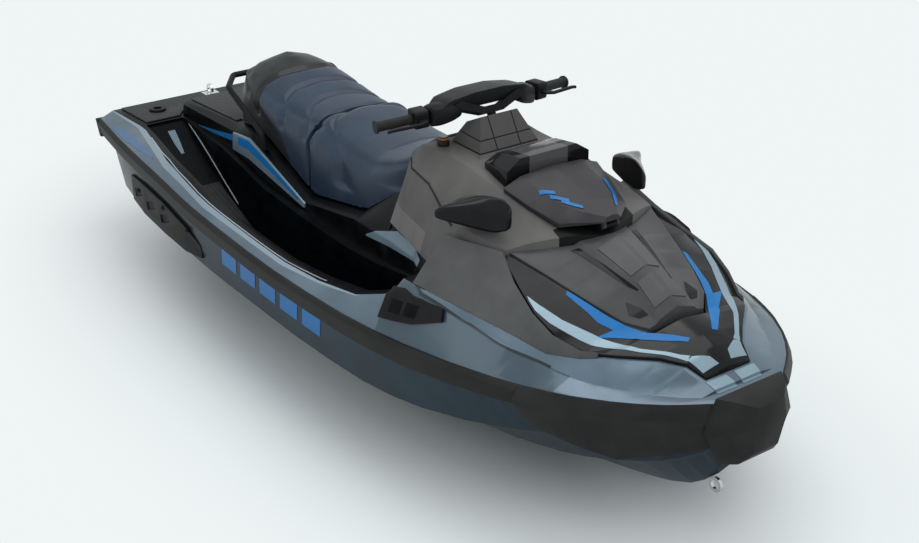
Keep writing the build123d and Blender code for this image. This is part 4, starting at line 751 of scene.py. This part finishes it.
# Handlebar: a bent tube and yoke in black powder coat with a moulded pad, rubber grips pushed on,
# clamped switch housings and two levers.
powder_coat = moulded("powder_coat", (0.005, 0.005, 0.006), (0.011, 0.011, 0.012), 700, 0.12,
                      (0.4, 0.5), 0.07)
finish_node("handlebar", powder_coat)
grip_rubber, tree, rubber, place = blank_finish("grip_rubber")
cloud = shade_node(tree, "TexNoise", {"Vector": place, "Scale": 40, "Detail": 3})
mottled(tree, cloud, rubber, (0.006, 0.006, 0.006), (0.014, 0.014, 0.014), (0.55, 0.75))
rib = shade_node(tree, "TexWave", {"Vector": place, "Scale": 62}, bands_direction="Y")
bump = shade_node(tree, "Bump", {"Height": rib.outputs["Fac"], "Strength": 0.8, "Distance": 0.002})
tree.links.new(bump.outputs[0], rubber.inputs["Normal"])
rubber.inputs["Specular IOR Level"].default_value = 0.25
for side, y in (("port", 1), ("starboard", -1)):
    skin_of("grip_" + side, 0.002).data.materials.append(grip_rubber)
    skin_of("switch_housing_" + side, 0.006).data.materials.append(satin_black)
    # A moulded sleeve fairs each bar arm from the switch housing into the pad
    sleeve = [(0.215, 0.372, 0.816, 0.034, 0.030), (0.185, 0.380, 0.822, 0.040, 0.034),
              (0.150, 0.394, 0.830, 0.040, 0.030), (0.115, 0.410, 0.838, 0.030, 0.020)]
    sections = [[Vector((x + ahead * wide, y * out, z + rise * tall))
                 for ahead in (-1, 1) for rise in (-1, 1)] for out, x, z, wide, tall in sleeve]
    grown("bar_sleeve_" + side, sections, satin_black, "steering", 2, 0.35)
    for number, (along_bar, tone) in enumerate(((0.232, "red"), (0.252, "grey"))):
        bpy.ops.object.select_all(action="DESELECT")
        bpy.ops.mesh.primitive_cylinder_add(vertices=20, radius=0.0065, depth=0.008,
                                            location=(0.336, y * along_bar, 0.826), rotation=(0, -1.2, 0))
        button = bpy.context.object
        button.name = f"button_{side}_{number}"
        bpy.ops.object.transform_apply(location=True, rotation=True, scale=True)
        crown = button.modifiers.new("crown", "BEVEL")
        crown.width = 0.0018
        crown.segments = 3
        bpy.ops.object.modifier_apply(modifier="crown")
        bpy.ops.object.shade_smooth_by_angle(angle=math.radians(40))
        button.data.materials.append(moulded(f"button_{side}_{tone}", *(
            ((0.20, 0.012, 0.010), (0.28, 0.02, 0.016)) if (tone, side) == ("red", "port")
            else ((0.10, 0.10, 0.10), (0.14, 0.14, 0.14))), 500, 0.05, (0.3, 0.4)))
        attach(button, "steering")
for node in ("throttle_lever", "brake_lever"):
    skin_of(node, 0.003).data.materials.append(satin_black)
pad_half = [(0.060, 0.312, 0.428, 0.822, 0.884), (0.150, 0.318, 0.424, 0.816, 0.872),
            (0.196, 0.336, 0.412, 0.806, 0.842)]
pad_rows = [(-y, *rest) for y, *rest in reversed(pad_half)] + pad_half
pad_sections = [[Vector((x0, y, low)), Vector((x0, y, top - 0.012)), Vector((x1, y, low + 0.012)),
                 Vector((x1, y, top))] for y, x0, x1, low, top in pad_rows]
grown("bar_pad_cover", pad_sections, satin_black, "steering", 2, 0.6, "bar_pad")

# Seats: foam cushions under navy marine vinyl, sewn along their edges and across at the creases and
# stapled underneath. The passenger seat has a dark rim and skirt.
def sewn_cover(node, seams, cap):
    """A cover eased off the cushion's shape, inflated against its seams, then drawn in along them."""
    cover = merged_copy(node, node + "_cover", gap=0.0001, flatten=False)
    cover.data.remesh_voxel_size = 0.008
    bpy.ops.object.voxel_remesh()
    ease = cover.modifiers.new("ease", "SMOOTH")
    ease.iterations = 8
    bpy.ops.object.modifier_apply(modifier="ease")
    trim = cover.modifiers.new("trim", "DISPLACE")
    trim.strength = -0.008
    trim.mid_level = 0
    bpy.ops.object.modifier_apply(modifier="trim")
    start = [v.co.copy() for v in cover.data.vertices]
    sewn = cover.vertex_groups.new(name="sewn")
    for v in cover.data.vertices:
        held = max([math.exp(-(line(v.co) / 0.007) ** 2) for line in seams] + [0])
        if v.normal.z < -0.55:
            held = 1
        sewn.add([v.index], held, "REPLACE")
    cloth = cover.modifiers.new("cloth", "CLOTH")
    cloth.settings.use_pressure = True
    cloth.settings.uniform_pressure_force = 4
    cloth.settings.vertex_group_mass = "sewn"
    cloth.settings.effector_weights.gravity = 0
    cloth.settings.quality = 4
    for step in range(1, 21):
        scene.frame_set(step)
    bpy.ops.object.modifier_apply(modifier="cloth")
    scene.frame_set(1)
    for v, rest in zip(cover.data.vertices, start):
        move = v.co - rest
        if move.length > cap:
            v.co = rest + move * (cap / move.length)
    normals = [v.normal.copy() for v in cover.data.vertices]
    for v, out in zip(cover.data.vertices, normals):
        near = min([line(v.co) for line in seams] + [1])
        v.co -= out * 0.011 * math.exp(-(near / 0.012) ** 2)
    soften = cover.modifiers.new("soften", "SMOOTH")
    soften.iterations = 2
    bpy.ops.object.modifier_apply(modifier="soften")
    fine = cover.modifiers.new("fine", "SUBSURF")
    fine.levels = fine.render_levels = 1
    bpy.ops.object.modifier_apply(modifier="fine")
    bpy.ops.object.shade_smooth()
    cover.data.materials.clear()
    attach(cover, "boat")
    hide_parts(node)
    return cover


driver_edge = [(-0.396, 0.178), (-0.35, 0.184), (-0.27, 0.190), (-0.15, 0.193), (0.0, 0.192),
               (0.12, 0.188), (0.238, 0.176)]
bolster = [(-0.395, 0.0), (-0.386, 0.032), (-0.327, 0.148), (-0.268, 0.190), (-0.173, 0.224),
           (-0.089, 0.240)]
rear_edge = [(-0.80, 0.182), (-0.7, 0.187), (-0.56, 0.184), (-0.4, 0.178)]
rim = [(-0.775, 0.0), (-0.777, 0.026), (-0.794, 0.117), (-0.809, 0.174), (-0.807, 0.230)]
crescent = [(-0.676, 0.0), (-0.676, 0.033), (-0.670, 0.109), (-0.651, 0.166), (-0.600, 0.230)]
hollow = [(-0.560, 0.0), (-0.556, 0.06), (-0.530, 0.12), (-0.470, 0.175), (-0.430, 0.230)]


def off_path(p, path):
    """How far a point lies from a seam drawn in plan, the same on both sides."""
    spot = Vector((p.x, abs(p.y)))
    best = 1.0
    for a, b in zip(path, path[1:]):
        a, b = Vector(a), Vector(b)
        share = max(0, min(1, (spot - a).dot(b - a) / (b - a).length_squared))
        best = min(best, (spot - a - (b - a) * share).length)
    return best


def marine_vinyl(name, low, high):
    finish, tree, vinyl, place = blank_finish(name)
    cloud = shade_node(tree, "TexNoise", {"Vector": place, "Scale": 7, "Detail": 4})
    mottled(tree, cloud, vinyl, low, high, (0.34, 0.46))
    pebble = shade_node(tree, "TexVoronoi", {"Vector": place, "Scale": 330}, feature="SMOOTH_F1")
    bump = shade_node(tree, "Bump", {"Height": pebble.outputs["Distance"], "Strength": 0.25,
                                     "Distance": 0.0008})
    tree.links.new(bump.outputs[0], vinyl.inputs["Normal"])
    vinyl.inputs["Specular IOR Level"].default_value = 0.28
    return finish


navy_vinyl = marine_vinyl("navy_vinyl", (0.012, 0.023, 0.043), (0.021, 0.038, 0.066))
driver = sewn_cover("driver_seat", [
    lambda p: off_path(p, driver_edge) if p.z > 0.48 else 1,
    lambda p: off_path(p, bolster) if p.z > 0.40 else 1], 0.022)
driver.data.materials.append(navy_vinyl)
passenger = sewn_cover("passenger_seat", [
    lambda p: off_path(p, rear_edge) if p.z > 0.52 else 1,
    lambda p: off_path(p, rim) if p.z > 0.50 else 1,
    lambda p: off_path(p, crescent) if p.z > 0.50 else 1,
    lambda p: off_path(p, hollow) if p.z > 0.50 else 1], 0.022)
two_tone_vinyl = marine_vinyl("two_tone_vinyl", (0.012, 0.023, 0.043), (0.021, 0.038, 0.066))
tree = two_tone_vinyl.node_tree
vinyl = tree.nodes["Principled BSDF"]
axes = shade_node(tree, "SeparateXYZ", {0: shade_node(tree, "TexCoord").outputs["Object"]})
half = shade_node(tree, "Math", {0: axes.outputs["Y"]}, operation="ABSOLUTE").outputs[0]
across = shade_node(tree, "MapRange", {"Value": half, "From Max": 0.25}).outputs["Result"]
rim_x = colour_stops(tree, across, [(y / 0.25, (x + 1.2,) * 3) for x, y in rim])
back_of = shade_node(tree, "Math", {0: axes.outputs["X"], 1: 1.2}, operation="ADD").outputs[0]
behind_rim = shade_node(tree, "Math", {0: back_of, 1: rim_x}, operation="LESS_THAN").outputs[0]
length = shade_node(tree, "MapRange", {"Value": axes.outputs["X"], "From Min": -1.05, "From Max": -0.40})
skirt_z = colour_stops(tree, length.outputs["Result"], [((x + 1.05) / 0.65, (z,) * 3) for x, z in (
    (-1.05, 0.63), (-0.92, 0.602), (-0.75, 0.531), (-0.61, 0.469), (-0.542, 0.366), (-0.53, 0.10))])
under_skirt = shade_node(tree, "Math", {0: axes.outputs["Z"], 1: skirt_z}, operation="LESS_THAN").outputs[0]
dark = shade_node(tree, "Math", {0: behind_rim, 1: under_skirt}, operation="MAXIMUM").outputs[0]
navy = vinyl.inputs["Base Color"].links[0].from_socket
tones = shade_node(tree, "Mix", {0: dark, 6: navy, 7: (0.010, 0.011, 0.013, 1)}, data_type="RGBA")
tree.links.new(tones.outputs[2], vinyl.inputs["Base Color"])
passenger.data.materials.append(two_tone_vinyl)
# Under each cover a black foam core reaches the full length of the seat, so no light passes at its ends
for node in ("driver_seat", "passenger_seat"):
    core = merged_copy(node, node + "_core")
    foot = min(corner.co.z for corner in core.data.vertices)
    bpy.ops.object.mode_set(mode="EDIT")
    bpy.ops.mesh.select_all(action="SELECT")
    bpy.ops.transform.resize(value=(1, 0.86, 0.90), center_override=(0, 0, foot))
    bpy.ops.object.mode_set(mode="OBJECT")
    bpy.ops.object.shade_smooth_by_angle(angle=math.radians(30))
    core.data.materials.clear()
    core.data.materials.append(trim_rubber)
    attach(core, "boat")

# Grab handle: a loop behind the passenger seat, moulded in black plastic and bolted to the
# pedestal on both sides.
skin_of("grab_handle", 0.002, 40).data.materials.append(satin_black)

# Mats: closed-cell foam sheets with routed grooves, cut to the footwells, the platform and the rear
# deck and glued down.
def grooved_foam(name, low, high):
    finish, tree, foam, place = blank_finish(name)
    cloud = shade_node(tree, "TexNoise", {"Vector": place, "Scale": 16, "Detail": 5})
    mottled(tree, cloud, foam, low, high, (0.65, 0.85))
    rib = shade_node(tree, "TexWave", {"Vector": place, "Scale": 16}, bands_direction="Y")
    cell = shade_node(tree, "TexNoise", {"Vector": place, "Scale": 600})
    height = shade_node(tree, "Math", {0: cell.outputs["Fac"], 1: 0.2}, operation="MULTIPLY")
    height = shade_node(tree, "Math", {0: rib.outputs["Fac"], 1: height.outputs[0]}, operation="ADD")
    bump = shade_node(tree, "Bump", {"Height": height.outputs[0], "Strength": 0.6, "Distance": 0.002})
    tree.links.new(bump.outputs[0], foam.inputs["Normal"])
    return finish


foam = grooved_foam("deck_foam", (0.016, 0.017, 0.018), (0.030, 0.031, 0.032))
well_foam = grooved_foam("well_foam", (0.004, 0.004, 0.005), (0.010, 0.010, 0.011))
for node, finish in (("footwell_mat_port", well_foam), ("footwell_mat_starboard", well_foam),
                     ("platform_mat", foam), ("rear_deck_pad", foam)):
    skin_of(node, 0.002).data.materials.append(finish)

# Fittings: moulded black accessory cups on the platform and gunwale vents, and the slate accent panels
# under the seat with their blue film band, all clipped to the deck.
for side in ("port", "starboard"):
    skin_of("accessory_anchor_" + side, 0.0015).data.materials.append(satin_black)
    cowl = laid_strip("vent_cowl_" + side, deck_skin,
                      [((0.625, 0.302), (0.632, 0.392)), ((0.70, 0.316), (0.70, 0.408)),
                       ((0.78, 0.334), (0.78, 0.412)), ((0.88, 0.372), (0.87, 0.404))],
                      side, satin_black, thick=0.013)
    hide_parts("gunwale_vent_" + side)
    # Each slot is a thin black strip laid on the solid cowl, painted shade in the vent's opening.
    for number, x in enumerate((0.665, 0.735)):
        step = number * 0.012
        laid_strip(f"vent_slot_{side}_{number}", cowl,
                   [((x, 0.338 + step), (x + 0.004, 0.380 + step)),
                    ((x + 0.050, 0.345 + step), (x + 0.054, 0.386 + step))],
                   side, well_black, cuts=3, stand=0.0004)
accent_paint = uncoated("accent_slate", (0.120, 0.180, 0.230), (0.170, 0.245, 0.305), 0.2)
for side in ("port", "starboard"):
    panel = skin_of("accent_panel_" + side, 0.003)
    panel.data.materials.append(accent_paint)
    laid_strip("accent_band_" + side, panel,
               [((-0.90, 0.352), (-0.90, 0.384)), ((-0.81, 0.358), (-0.81, 0.395)),
                ((-0.66, 0.334), (-0.66, 0.360)), ((-0.51, 0.306), (-0.51, 0.321)),
                ((-0.40, 0.285), (-0.40, 0.294))],
               side, blue_vinyl)
